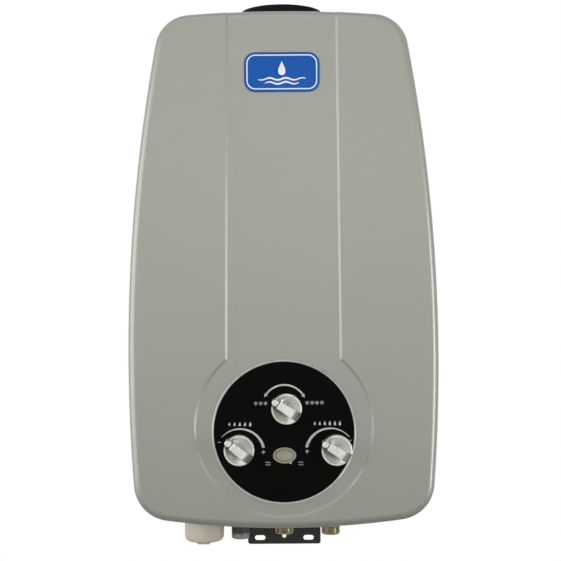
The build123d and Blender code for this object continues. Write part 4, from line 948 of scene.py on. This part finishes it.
@dataclass
class Cover:
    """Painted front cover: a pressed shell with soft recess edges."""

    name: str = "front_cover_shell"
    depth: float = 150.0
    edge: float = 9.0
    sheet: float = 0.8
    rear: float = 3.0
    sink: float = 1.8
    slope: float = 2.6
    ease: float = 0.9
    opening_radius: float = 65.3
    opening_z: float = -171.8
    slot_half: float = 47.0
    slot_depth: float = 75.0
    vent_left: float = -114.0
    vent_right: float = 80.0
    vent_depth: float = 118.0
    vent_corner: float = 8.0
    end_zone: float = 200.0
    edge_steps: int = 10
    skirt_rows: int = 10
    opening_points: int = 144
    vent_points: int = 6
    slot_points: int = 16
    slot_end: float = 0.12
    edge_lines: tuple[float, ...] = (1.2, 3.0, 12.0)
    recess_lines: tuple[float, ...] = (-1.2, -0.6, -0.1, 0.35, 0.8, 1.3, 1.8, 2.25, 2.7, 3.2, 3.8)
    opening_lines: tuple[float, ...] = (0.0, 1.5, 9.0)
    grid_half: Flat = (140.0, 240.0)
    grid_step: float = 20.0
    net_slack: float = 1e-4
    hole_slack: float = 0.02
    edge_slack: float = 0.05
    rim_slack: float = 0.002
    opening_slack: float = 0.001

    def __post_init__(self) -> None:
        """Set up the outline with the points that the openings need."""
        self.keyhole = Keyhole()
        self.top_edge = CasingOutline().top
        rounding = [self.vent_corner * (1 - math.sin(a)) for a in np.linspace(0, QUARTER, self.vent_points)]
        vent_marks = {end - inset for end in (-self.vent_left, self.vent_right) for inset in rounding}
        slot_marks = {self.slot_half * math.sin(a) for a in np.linspace(QUARTER, self.slot_end, self.slot_points)}
        band_half = self.keyhole.half(self.top_edge(self.keyhole.top_half))
        band_marks = {band_half + grow for grow in self.recess_lines}
        self.outline = CasingOutline(top_marks=sorted(slot_marks | band_marks), bottom_marks=sorted(vent_marks))

    def sunk(self, gap: np.ndarray) -> tuple[np.ndarray, np.ndarray]:
        """Share of the recess depth at a distance outside it, and its slope."""
        low, high = -self.ease / 2, self.slope + self.ease / 2
        t = np.clip((gap - low) / (high - low), 0.0, 1.0)
        return 1.0 - t * t * (3.0 - 2.0 * t), -6.0 * t * (1.0 - t) / (high - low)

    def surface(self, spots: np.ndarray) -> tuple[np.ndarray, np.ndarray]:
        """Depth and outward normal of the outer skin over its front.

        Args:
            spots: Array of x and height.

        Returns:
            Depths, and normals as x, depth and height.
        """
        inside, out = self.outline.inside(spots)
        drop = np.clip(self.edge - inside, 0.0, self.edge)
        rise = np.sqrt(np.maximum(self.edge**2 - drop**2, 0.0))
        gap, away = self.keyhole.outside(spots)
        share, fall = self.sunk(gap)
        depth = self.depth - self.edge + rise - self.sink * share
        facing = rise / self.edge
        flat = out * (drop / self.edge)[:, None] + away * (facing * self.sink * fall)[:, None]
        normal = np.stack([flat[:, 0], facing, flat[:, 1]], 1)
        return depth, normal / np.linalg.norm(normal, axis=1)[:, None]

    def _front_net(self) -> tuple[np.ndarray, list[Face]]:
        """Triangles over the front, with lines along every edge and slope."""
        turns = np.linspace(0.0, QUARTER, self.edge_steps + 1)
        insets = [self.edge * (1.0 - math.cos(turn)) for turn in turns] + [self.edge + k for k in self.edge_lines]
        middle = (0.0, self.opening_z)
        loops = [self.outline.ring(inset) for inset in insets]
        lines = [self.keyhole.line(grow, self.top_edge) for grow in self.recess_lines]
        rounds = [circle(middle, self.opening_radius + grow, self.opening_points) for grow in self.opening_lines]
        spots: list[Vector] = []
        joins: list[tuple[int, int]] = []
        for group, closed in ((loops, True), (lines, False), (rounds, True)):
            for line in group:
                start, count = len(spots), len(line)
                spots.extend(Vector(spot) for spot in line)
                joins.extend((start + i, start + (i + 1) % count) for i in range(count if closed else count - 1))
        xs, zs = (np.arange(-half, half + self.grid_step / 2, self.grid_step) for half in self.grid_half)
        spots.extend(Vector((x, z)) for x in xs for z in zs)
        found, _, faces, *_ = delaunay_2d_cdt(spots, joins, [], 0, self.net_slack)
        net = np.array([tuple(spot) for spot in found], float)
        middles = np.array([net[list(face)].mean(0) for face in faces])
        inside, _ = self.outline.inside(middles)
        hole = np.hypot(middles[:, 0], middles[:, 1] - self.opening_z) < self.opening_radius - self.hole_slack
        return net, [tuple(face) for face, keep in zip(faces, (inside > -self.edge_slack) & ~hole) if keep]

    def _limit(self, x: float, z: float) -> tuple[float, bool]:
        """Depth where the skirt's front half ends, and whether an opening is behind it."""
        share = MIDDLE - z / (2 * self.outline.half_height)
        straight = self.vent_depth - self.vent_corner
        middle = self.slot_depth + (straight - self.slot_depth) * share
        if z > self.end_zone and abs(x) < self.slot_half - self.opening_slack:
            return max(middle, self.slot_depth + math.sqrt(self.slot_half**2 - x**2)), True
        left, right = self.vent_left + self.opening_slack, self.vent_right - self.opening_slack
        if z < -self.end_zone and left < x < right:
            side = max(0.0, self.vent_corner - min(x - self.vent_left, self.vent_right - x))
            return straight + math.sqrt(self.vent_corner**2 - side**2), True
        return middle, False

    @staticmethod
    def _facing(face: Face, points: Sequence[Solid]) -> Face:
        """Face turned so that it looks to the front."""
        a, b, c = (points[i] for i in face[:3])
        turn = (b[0] - a[0]) * (c[2] - a[2]) - (c[0] - a[0]) * (b[2] - a[2])
        return face if turn > 0 else face[::-1]

    def build(self) -> bpy.types.Object:
        """Make the shell, inside and out, with exact normals."""
        net, faces = self._front_net()
        depth, normal = self.surface(net)
        used = sorted({v for face in faces for v in face})
        number = {old: new for new, old in enumerate(used)}
        points = [(net[v, 0], depth[v], net[v, 1]) for v in used]
        normals = [tuple(normal[v]) for v in used]
        outer = [self._facing(tuple(number[v] for v in face), points) for face in faces]
        inside, out = self.outline.inside(net[used])
        rim = [i for i in range(len(used)) if inside[i] < self.rim_slack]
        rim.sort(key=lambda i: math.atan2(points[i][2], points[i][0]))
        self._skirt(rim, out, points, normals, outer)
        return self._shell(points, normals, outer)

    def _skirt(
        self, rim: list[int], out: np.ndarray, points: list[Solid], normals: list[Solid], outer: list[Face]
    ) -> None:
        """Run the sides back from the front's rim, leaving the two openings."""
        columns: list[list[int]] = []
        for start in rim:
            x, front, z = points[start]
            limit, opening = self._limit(x, z)
            column = [start]
            for near, far in ((front, limit),) if opening else ((front, limit), (limit, self.rear)):
                for level in np.linspace(near, far, self.skirt_rows)[1:]:
                    column.append(len(points))
                    points.append((x, float(level), z))
                    normals.append((float(out[start][0]), 0.0, float(out[start][1])))
            columns.append(column)
        for column, after in zip(columns, columns[1:] + columns[:1]):
            (x, _, z), (next_x, _, _) = points[column[0]], points[after[0]]
            _, opening = self._limit((x + next_x) / 2, z)
            rows = self.skirt_rows if opening else min(len(column), len(after))
            outer.extend((column[i], column[i + 1], after[i + 1], after[i]) for i in range(rows - 1))

    def _shell(self, points: list[Solid], normals: list[Solid], outer: list[Face]) -> bpy.types.Object:
        """Add the inner skin and the sheet's edges, and make the object."""
        count = len(points)
        inner_points = [tuple(p[k] - self.sheet * n[k] for k in range(3)) for p, n in zip(points, normals)]
        inner = [tuple(i + count for i in face[::-1]) for face in outer]
        edges = dict.fromkeys(pair for face in outer for pair in zip(face, face[1:] + face[:1]))
        rim = [(b, a, a + count, b + count) for a, b in edges if (b, a) not in edges]
        mesh = mesh_of(self.name, points + inner_points, outer + inner + rim)
        ways = [(x, -depth, z) for x, depth, z in normals]
        ways += [tuple(-k for k in way) for way in ways]
        loops: list[Solid] = []
        for polygon in mesh.polygons:
            polygon.use_smooth = True
            flat = tuple(polygon.normal)
            loops.extend(flat if polygon.index >= 2 * len(outer) else ways[i] for i in polygon.vertices)
        mesh.normals_split_custom_set(loops)
        made = settle(self.name, mesh, Finish.COVER, "cover_paint")
        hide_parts("front_cover")
        return made


class Mark(Enum):
    """Plain signs that are printed beside the controls."""

    SNOW = "snow"
    SUN = "sun"
    FLAME = "flame"
    DROP = "drop"
    LESS = "less"
    MORE = "more"
    WARM = "warm"
    COOL = "cool"


@dataclass
class Sign:
    """One printed sign; its shares are parts of its size."""

    mark: Mark
    x: float
    z: float
    size: float
    ray_pen: float = 0.2
    snow_arms: int = 6
    sun_rays: int = 8
    ray_start: float = 0.62
    sun_disc: float = 0.42
    disc_points: int = 24
    flame_lean: float = 0.28
    bar_pen: float = 0.42
    bar_gap: float = 0.26
    wave_rows: Flat = (-0.5, 0.5)
    wave_points: int = 13
    wave_rise: float = 0.2
    wave_turn: float = math.pi / 3
    warm_pen: float = 0.24
    cool_pen: float = 0.14

    def _rays(self, stencil: Stencil, count: int, start: float) -> None:
        """Strokes out from the middle, the first one straight up."""
        for turn in (QUARTER + TURN * index / count for index in range(count)):
            ends = (on_circle((self.x, self.z), self.size * share, turn) for share in (start, 1.0))
            stencil.stroke(*ends, self.size * self.ray_pen)

    def _bars(self, stencil: Stencil) -> None:
        """Level bar, and the upright one of a plus."""
        x, z, size = self.x, self.z, self.size
        stencil.stroke((x - size, z), (x + size, z), size * self.bar_pen)
        for way in (-size, size) if self.mark is Mark.MORE else ():
            stencil.stroke((x, z + way * self.bar_gap), (x, z + way), size * self.bar_pen)

    def _waves(self, stencil: Stencil) -> None:
        """Two wavy lines, thick for warm and thin for cool."""
        pen = self.size * (self.warm_pen if self.mark is Mark.WARM else self.cool_pen)
        xs = self.x + np.linspace(-self.size, self.size, self.wave_points)
        rises = self.wave_rise * np.sin(self.wave_turn * np.arange(self.wave_points))
        for row in self.wave_rows:
            stencil.wave(xs, self.z + self.size * (row + rises), [pen] * self.wave_points)

    def draw(self, stencil: Stencil) -> None:
        """Print the sign."""
        if self.mark is Mark.SNOW:
            self._rays(stencil, self.snow_arms, 0.0)
        elif self.mark is Mark.SUN:
            self._rays(stencil, self.sun_rays, self.ray_start)
            stencil.patch(circle((self.x, self.z), self.size * self.sun_disc, self.disc_points))
        elif self.mark in (Mark.FLAME, Mark.DROP):
            lean = self.flame_lean if self.mark is Mark.FLAME else 0.0
            stencil.patch(teardrop(self.x, self.z, self.size, lean))
        elif self.mark in (Mark.LESS, Mark.MORE):
            self._bars(stencil)
        else:
            self._waves(stencil)


def sign_row(
    mark: Mark, count: int, start: float, pitch: float, z: float, size: float, growth: float = 0.0
) -> list[Sign]:
    """Signs side by side, each one larger than the last by the growth."""
    return [Sign(mark, start + pitch * step, z, size + growth * step) for step in range(count)]


@dataclass
class PanelPrint:
    """Scales and signs printed on the black panel."""

    face: float = 150.8
    ink: float = 0.06
    season_centre: Flat = (0.6, -145.4)
    season_radius: float = 23.4
    season_span: Flat = (143.0, 35.0)
    season_width: float = 1.7
    head_gap: float = 1.0
    head_length: float = 3.8
    head_half: float = 2.1
    gas_centre: Flat = (-46.6, -193.9)
    gas_radius: float = 25.6
    gas_span: Flat = (138.0, 13.0)
    water_centre: Flat = (49.0, -194.0)
    water_radius: float = 25.9
    water_span: Flat = (167.0, 39.5)
    thin: float = 0.6
    thick: float = 3.0
    signs: tuple[Sign, ...] = (
        *sign_row(Mark.SNOW, 3, start=-29.6, pitch=5.2, z=-141.4, size=2.2),
        *sign_row(Mark.SUN, 4, start=24.6, pitch=5.2, z=-141.0, size=2.2),
        *sign_row(Mark.FLAME, 5, start=-57.6, pitch=5.5, z=-163.0, size=2.0, growth=0.14),
        *sign_row(Mark.DROP, 6, start=32.6, pitch=5.3, z=-162.6, size=2.0, growth=0.12),
        Sign(Mark.LESS, -68.6, -182.2, 1.7),
        Sign(Mark.MORE, -21.8, -192.9, 1.9),
        Sign(Mark.MORE, 24.3, -192.4, 1.9),
        Sign(Mark.LESS, 69.6, -181.0, 1.6),
        Sign(Mark.WARM, -16.8, -205.0, 2.7),
        Sign(Mark.COOL, 17.6, -205.0, 2.7),
    )
    arrow: tuple[Flat, ...] = ((4.9, -204.6), (8.3, -206.0), (7.4, -202.6))
    display_centre: Flat = (0.5, -196.4)
    display_half: Flat = (9.6, 5.7)
    display_line: float = 0.8
    display_face: float = 151.8
    display_points: int = 65

    def _head(self, stencil: Stencil, angle: float, way: float) -> None:
        """Arrow head at the end of the season scale."""
        turn = math.radians(angle)
        base = Vector(on_circle(self.season_centre, self.season_radius, turn))
        out = Vector((math.cos(turn), math.sin(turn)))
        tip = base + out.orthogonal() * way * self.head_length
        stencil.patch([tuple(corner) for corner in (base + out * self.head_half, tip, base - out * self.head_half)])

    def _display_line(self) -> bpy.types.Object:
        """Dark line where the display's glass meets its rim."""
        (x, z), turns = self.display_centre, np.linspace(0.0, TURN, self.display_points)
        halves = [[half + grow for half in self.display_half] for grow in (0.0, self.display_line)]
        inner, outer = ([(x + a * math.cos(turn), z + b * math.sin(turn)) for turn in turns] for a, b in halves)
        stencil = Stencil(self.display_face, self.ink)
        stencil.stripe(inner, outer)
        return stencil.sheet.build("display_line", Finish.DARK_PRINT, "display_grey")

    def build(self) -> bpy.types.Object:
        """Make the print as one thin piece."""
        stencil = Stencil(self.face, self.ink)
        start, end = self.season_span
        stencil.sweep(self.season_centre, self.season_radius, self.season_span, (self.season_width,) * 2)
        self._head(stencil, start + self.head_gap, 1.0)
        self._head(stencil, end - self.head_gap, -1.0)
        stencil.sweep(self.gas_centre, self.gas_radius, self.gas_span, (self.thin, self.thick))
        stencil.sweep(self.water_centre, self.water_radius, self.water_span, (self.thick, self.thin))
        for sign in self.signs:
            sign.draw(stencil)
        stencil.patch(self.arrow)
        self._display_line()
        return stencil.sheet.build("panel_print", Finish.PRINT, "display_grey")


@dataclass
class ControlPanel:
    """Black panel with its ring, display and print."""

    def build(self) -> None:
        """Dress the panel's nodes and add the print."""
        dress(Finish.PANEL, "control_panel")
        dress(Finish.BEZEL, "panel_bezel")
        dress(Finish.DISPLAY_RIM, "display_frame")
        dress(Finish.DISPLAY_GLASS, "display_window")
        PanelPrint().build()


@dataclass
class Knobs:
    """Three turning knobs and their spindles."""

    def build(self) -> None:
        """Dress the knobs."""
        dress(Finish.GAS_KNOB, "gas_knob")
        dress(Finish.WATER_KNOB, "water_knob")
        dress(Finish.SEASON_KNOB, "season_knob")
        dress(Finish.SCREW, "gas_spindle", "season_spindle")
        dress(Finish.BRASS, "water_spindle")


@dataclass
class Badge:
    """Plain blue plate with a border line and two waves under a drop."""

    z: float = 208.6
    half_width: float = 40.0
    half_height: float = 21.0
    corner: float = 12.0
    corner_points: int = 13
    face: float = 149.8
    ink: float = 0.08
    margin: float = 2.6
    line: float = 1.2
    drop_rise: float = 4.2
    drop_size: float = 7.6
    waves: tuple[Flat, ...] = ((-7.4, 25.0), (-11.6, 18.0))
    wave_points: int = 61
    wave_rise: float = 1.1
    wave_rate: float = 0.36
    wave_pen: float = 2.0
    wave_end: float = 0.12

    def _rounded(self, drawn_in: float) -> list[Flat]:
        """Closed rounded rectangle, drawn in by a distance."""
        across, up, radius = self.half_width - self.corner, self.half_height - self.corner, self.corner - drawn_in
        points: list[Flat] = []
        for sx, sz, start in ((1, 1, 0.0), (-1, 1, 90.0), (-1, -1, 180.0), (1, -1, 270.0)):
            points += arc((sx * across, self.z + sz * up), radius, start, start + 90.0, self.corner_points)
        return points + points[:1]

    def build(self) -> bpy.types.Object:
        """Dress the plate and print its signs."""
        dress(Finish.BADGE, "badge_plate")
        stencil = Stencil(self.face, self.ink)
        stencil.stripe(self._rounded(self.margin), self._rounded(self.margin + self.line))
        stencil.patch(teardrop(0.0, self.z + self.drop_rise, self.drop_size))
        pens = self.wave_pen * np.sqrt(np.sin(np.linspace(self.wave_end, math.pi - self.wave_end, self.wave_points)))
        for row, reach in self.waves:
            xs = np.linspace(-reach, reach, self.wave_points)
            stencil.wave(xs, self.z + row + self.wave_rise * np.sin(xs * self.wave_rate), pens)
        return stencil.sheet.build("badge_print", Finish.WHITE_PRINT, "badge_blue")


@dataclass
class ThreadedStub:
    """Pipe connection with a cut thread, a hexagonal flange and a neck."""

    name: str
    node: str
    x: float
    end_z: float
    top_z: float
    finish: Finish
    slot: str
    depth: float = 75.0
    radius: float = 10.4775
    bore: float = 7.0
    pitch: float = 1.814
    cut: float = 0.6
    groove_top: float = 1.3
    groove_slope: float = 2.6
    chamfer: float = 1.2
    run_out: float = 1.6
    run_out_fade: float = 1.2
    row: float = 0.22
    thread_points: int = 56
    flange_z: float = -274.0
    flange: float = 6.0
    flats: float = 27.0
    corner_cut: float = 1.12
    low_bevel: Flat = (1.0, 0.8)
    high_bevel: Flat = (0.6, 0.5)
    neck: float = 10.4
    neck_bevel: float = 0.6
    round_points: int = 48
    smooth: float = 28.0

    def _reach(self, along: float, turn: float, length: float) -> float:
        """Radius of the thread at a height above its end and a share of a turn."""
        phase = (along / self.pitch + turn) % 1.0
        groove = unit(self.groove_top - self.groove_slope * abs(phase - MIDDLE))
        fade = unit((length - along - self.run_out) / self.run_out_fade)
        return self.radius - max(self.cut * groove * fade, self.chamfer - along)

    def _thread(self, sheet: Sheet) -> None:
        """Threaded tube from its end to the flange."""
        length = self.flange_z - self.end_z
        turns = np.arange(self.thread_points) / self.thread_points
        profile = []
        for along in np.linspace(0.0, length, int(length / self.row) + 1):
            profile.append(([self._reach(along, turn, length) for turn in turns], self.end_z + along))
        profile += [(self.bore, self.flange_z), (self.bore, self.end_z)]
        sheet.lathe((self.x, self.depth), profile, self.thread_points)

    def _hexagon(self) -> np.ndarray:
        """Reach of a hexagon with its corners slightly cut."""
        side = TURN / 6
        leans = (TURN * np.arange(self.round_points) / self.round_points + side / 2) % side - side / 2
        return self.flats / 2 * np.minimum(1.0 / np.cos(leans), self.corner_cut)

    def build(self) -> bpy.types.Object:
        """Make the stub in place of its plain node."""
        sheet = Sheet()
        self._thread(sheet)
        low, high, hexagon = self.flange_z, self.flange_z + self.flange, self._hexagon()
        flange = [
            (hexagon - self.low_bevel[0], low),
            (hexagon, low + self.low_bevel[1]),
            (hexagon, high - self.high_bevel[1]),
            (hexagon - self.high_bevel[0], high),
            (self.bore, high),
            (self.bore, low),
        ]
        neck = [
            (self.neck, high),
            (self.neck, self.top_z - self.neck_bevel),
            (self.neck - self.neck_bevel, self.top_z),
            (self.bore, self.top_z),
            (self.bore, high),
        ]
        for profile in (flange, neck):
            sheet.lathe((self.x, self.depth), profile, self.round_points)
        made = sheet.build(self.name, self.finish, self.slot, smooth=self.smooth)
        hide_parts(self.node)
        return made


@dataclass
class Connections:
    """Three pipe stubs under the casing, with their nuts and filter."""

    stubs: tuple[ThreadedStub, ...] = (
        ThreadedStub("gas_stub", "gas_inlet_nipple", -49.0, -300.0, -242.0, Finish.GREY_CAST, "cast_aluminium"),
        ThreadedStub("hot_stub", "hot_outlet_fitting", 0.0, -294.8, -256.0, Finish.STUB_BRASS, "brass"),
        ThreadedStub("cold_stub", "cold_inlet_fitting", 52.0, -295.8, -260.0, Finish.STUB_BRASS, "brass"),
    )

    def build(self) -> None:
        """Make the stubs and dress what holds them."""
        for stub in self.stubs:
            stub.build()
        dress(Finish.BRASS, "lock_nuts", "union_nuts")
        dress(Finish.BLACK_PLASTIC, "inlet_filter")
        dress(Finish.ZINC, "fitting_shelf")


@dataclass
class BatteryCap:
    """Twist cap with a ribbed grip around its wall."""

    x: float = -89.7
    depth: float = 75.0
    radius: float = 21.6
    sunk: float = 0.5
    rib: float = 0.35
    rib_end: float = 0.02
    ribs: int = 48
    rib_points: int = 8
    low_z: float = -297.2
    high_z: float = -277.0
    fade: float = 1.2
    smooth: float = 80.0

    def build(self) -> bpy.types.Object:
        """Dress the cap and add the grip."""
        dress(Finish.CAP, "battery_cap")
        count = self.ribs * self.rib_points
        swell = MIDDLE - MIDDLE * np.cos(TURN * np.arange(count) / self.rib_points)
        end, rib = self.radius + self.rib_end * swell, self.radius + self.rib * swell
        half = [(self.radius - self.sunk, 0.0), (end, 0.0), (rib, self.fade)]
        profile = [(reach, self.low_z + rise) for reach, rise in half]
        profile += [(reach, self.high_z - rise) for reach, rise in half[::-1]]
        sheet = Sheet()
        sheet.lathe((self.x, self.depth), profile, count)
        return sheet.build("cap_grip", Finish.CAP, "cap_cream", "battery_cap", self.smooth)


@dataclass
class Works:
    """Everything inside the casing."""

    def build(self) -> None:
        """Dress the inner pieces."""
        dress(Finish.ZINC, "hanger_bracket", "draft_hood", "core_brackets", "burner_tray", "electrode_bracket")
        dress(Finish.COPPER, "combustion_chamber", "exchanger_fins", "exchanger_tube")
        dress(Finish.COPPER, "cold_feed_pipe", "hot_outlet_pipe")
        dress(Finish.BURNER, "burner_blades")
        dress(Finish.PALE_CAST, "gas_manifold", "gas_pipes", "season_valve_body", "gas_valve_body")
        dress(Finish.BRASS, "gas_nozzles", "gas_valve_plug", "water_valve_body", "water_valve_cover")
        dress(Finish.BRASS, "push_rod", "cap_contact", "battery_contact")
        dress(Finish.SCREW, "solenoid_valve", "valve_screws", "switch_lever")
        dress(Finish.RUBBER, "diaphragm")
        dress(Finish.BLACK_PLASTIC, "microswitch", "igniter_box", "overheat_thermostat")
        dress(Finish.BLACK_PLASTIC, "battery_box", "display_module")
        dress(Finish.CERAMIC, "ignition_electrode", "flame_sensor")
        dress(Finish.CELL, "batteries")
        dress(Finish.WIRE, "wiring")


@dataclass
class FlueCollar:
    """Round sheet collar with a dressed lip, its rim a little lower than the plain tube's."""

    node: str = "flue_collar"
    wall: float = 0.8
    lip: float = 0.25
    drop: float = 2.6
    count: int = 120

    def build(self) -> bpy.types.Object:
        """Make the collar in place of its plain node."""
        low, high = (tuple(value / MM for value in corner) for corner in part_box(self.node))
        outer = (high[1] - low[1]) / 2
        inner = outer - self.wall
        rim = high[2] - self.drop
        shoulder = rim - self.lip
        profile = [
            (outer, low[2]),
            (outer, shoulder),
            (outer - self.lip, rim),
            (inner + self.lip, rim),
            (inner, shoulder),
            (inner, low[2]),
        ]
        sheet = Sheet()
        sheet.lathe((0.0, -(high[1] + low[1]) / 2), profile, self.count)
        made = sheet.build("collar_tube", Finish.FLUE_ENAMEL, "black_paint")
        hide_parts(self.node)
        return made


@dataclass
class Casing:
    """Cover, back plate, lower wall bracket and flue collar."""

    def build(self) -> None:
        """Make the cover and the collar, and dress the rest."""
        Cover().build()
        dress(Finish.ZINC, "back_plate")
        dress(Finish.SCREW, "cover_screws", "bracket_rivets")
        dress(Finish.BLACK_ENAMEL, "lower_bracket")
        FlueCollar().build()


@dataclass
class Lamp:
    """Soft rectangular studio light."""

    name: str
    place: Solid
    aim: Solid
    size: Flat
    watts: float
    colour: Colour = WHITE
    mirrored: bool = True
    spread: float = 180.0

    def build(self) -> None:
        """Hang the light."""
        data = bpy.data.lights.new(self.name, "AREA")
        data.shape = "RECTANGLE"
        data.size, data.size_y = self.size
        data.energy = self.watts
        data.color = self.colour
        data.spread = math.radians(self.spread)
        made = stand(self.name, data)
        made.location = self.place
        made.visible_glossy = self.mirrored
        made.rotation_mode = "QUATERNION"
        made.rotation_quaternion = (Vector(self.aim) - Vector(self.place)).to_track_quat("-Z", "Y")


@dataclass
class Studio:
    """Pale floor, soft light, white surroundings and the camera."""

    floor_z: float = -0.95
    floor_reach: float = 2.4
    floor_glow: float = 0.15
    floor_pale: tuple[Colour, Colour] = ((0.84, 0.84, 0.83), (0.90, 0.90, 0.89))
    floor_dim: tuple[Colour, Colour] = ((0.20, 0.20, 0.20), (0.24, 0.24, 0.24))
    floor_grain: Grain = Grain(3.0, 3.0)
    floor_roughness: float = 0.8
    fade_start: float = 0.7
    fade_end: float = 2.304
    camera: Solid = (-0.0027, -1.350, -0.0118)
    lens: float = 72.9
    sensor: float = 36.0
    roll: float = 0.35
    sky: float = 0.10
    lamps: tuple[Lamp, ...] = (
        Lamp("key_light", (0.02, -2.0, 0.25), (0.0, -0.1, 0.17), (1.2, 0.4), 1.98, (1.0, 1.0, 0.93), False, 50.0),
        Lamp("high_light", (-0.2, -0.85, 1.15), (0.0, -0.1, -0.1), (1.7, 0.4), 2.6, (1.0, 1.0, 0.96)),
        Lamp("left_light", (-1.4, -0.7, 0.05), (0.0, -0.1, 0.05), (1.5, 1.2), 14.5, (1.0, 1.0, 0.96)),
        Lamp("right_light", (1.30, -0.92, -0.2), (0.0, -0.1, -0.12), (0.15, 0.8), 9.0, (0.97, 0.98, 1.0)),
    )

    def _world(self) -> None:
        """White where it is seen or mirrored, and a low even level as a light."""
        graph = Graph(bpy.data.worlds.new("studio_world"), "ShaderNodeBackground", "ShaderNodeOutputWorld")
        level = graph.node("ShaderNodeMapRange", None, {"Value": graph.seen(), "To Min": self.sky})
        bpy.context.scene.world = graph.place(Color=WHITE, Strength=level)

    def _floor(self) -> None:
        """Large pale floor well below the heater."""
        mesh = bpy.data.meshes.new("floor")
        reach = self.floor_reach
        corners = [(x * reach, y * reach, self.floor_z) for x, y in ((-1, -1), (1, -1), (1, 1), (-1, 1))]
        mesh.from_pydata(corners, [], [(0, 1, 2, 3)])
        floor = stand("floor", mesh)
        graph = Graph.named("floor_paint")
        seen, grain = graph.seen(), graph.noise(self.floor_grain)
        away = graph.node("ShaderNodeVectorMath", {"operation": "LENGTH"}, {0: graph.spot(LEVEL)}, "Value")
        far = away.step(self.fade_start, self.fade_end)
        paint = graph.blend(graph.blend(*self.floor_dim, grain), graph.blend(*self.floor_pale, grain), seen)
        glow = seen * (self.floor_glow + far * (1.0 - self.floor_glow))
        material = graph.place(
            Base_Color=graph.blend(paint, BLACK, far * seen),
            Roughness=self.floor_roughness,
            Emission_Color=graph.blend(BLACK, WHITE, glow),
            Emission_Strength=1.0,
        )
        mesh.materials.append(material)

    def _camera(self) -> None:
        """Camera at the photograph's place, turned by its small roll."""
        data = bpy.data.cameras.new("camera")
        data.lens = self.lens
        data.sensor_width = self.sensor
        data.sensor_fit = "HORIZONTAL"
        c, s = math.cos(math.radians(self.roll)), math.sin(math.radians(self.roll))
        right, up, back = (c, 0.0, -s), (s, 0.0, c), (0.0, -1.0, 0.0)
        made = stand("camera", data)
        made.matrix_world = Matrix.Translation(self.camera) @ Matrix((right, up, back)).transposed().to_4x4()
        bpy.context.scene.camera = made

    def build(self) -> None:
        """Set up the stage."""
        bpy.context.scene.view_settings.view_transform = "Standard"
        self._world()
        self._floor()
        for lamp in self.lamps:
            lamp.build()
        self._camera()
        log.info("stage set with %d lamps", len(self.lamps))


def main() -> None:
    """Build the heater's looks in order."""
    logging.basicConfig(level=logging.INFO, format="%(name)s: %(message)s")
    for assembly in (Casing(), ControlPanel(), Knobs(), Badge(), Connections(), BatteryCap(), Works(), Studio()):
        assembly.build()


if __name__ == "__main__":
    main()
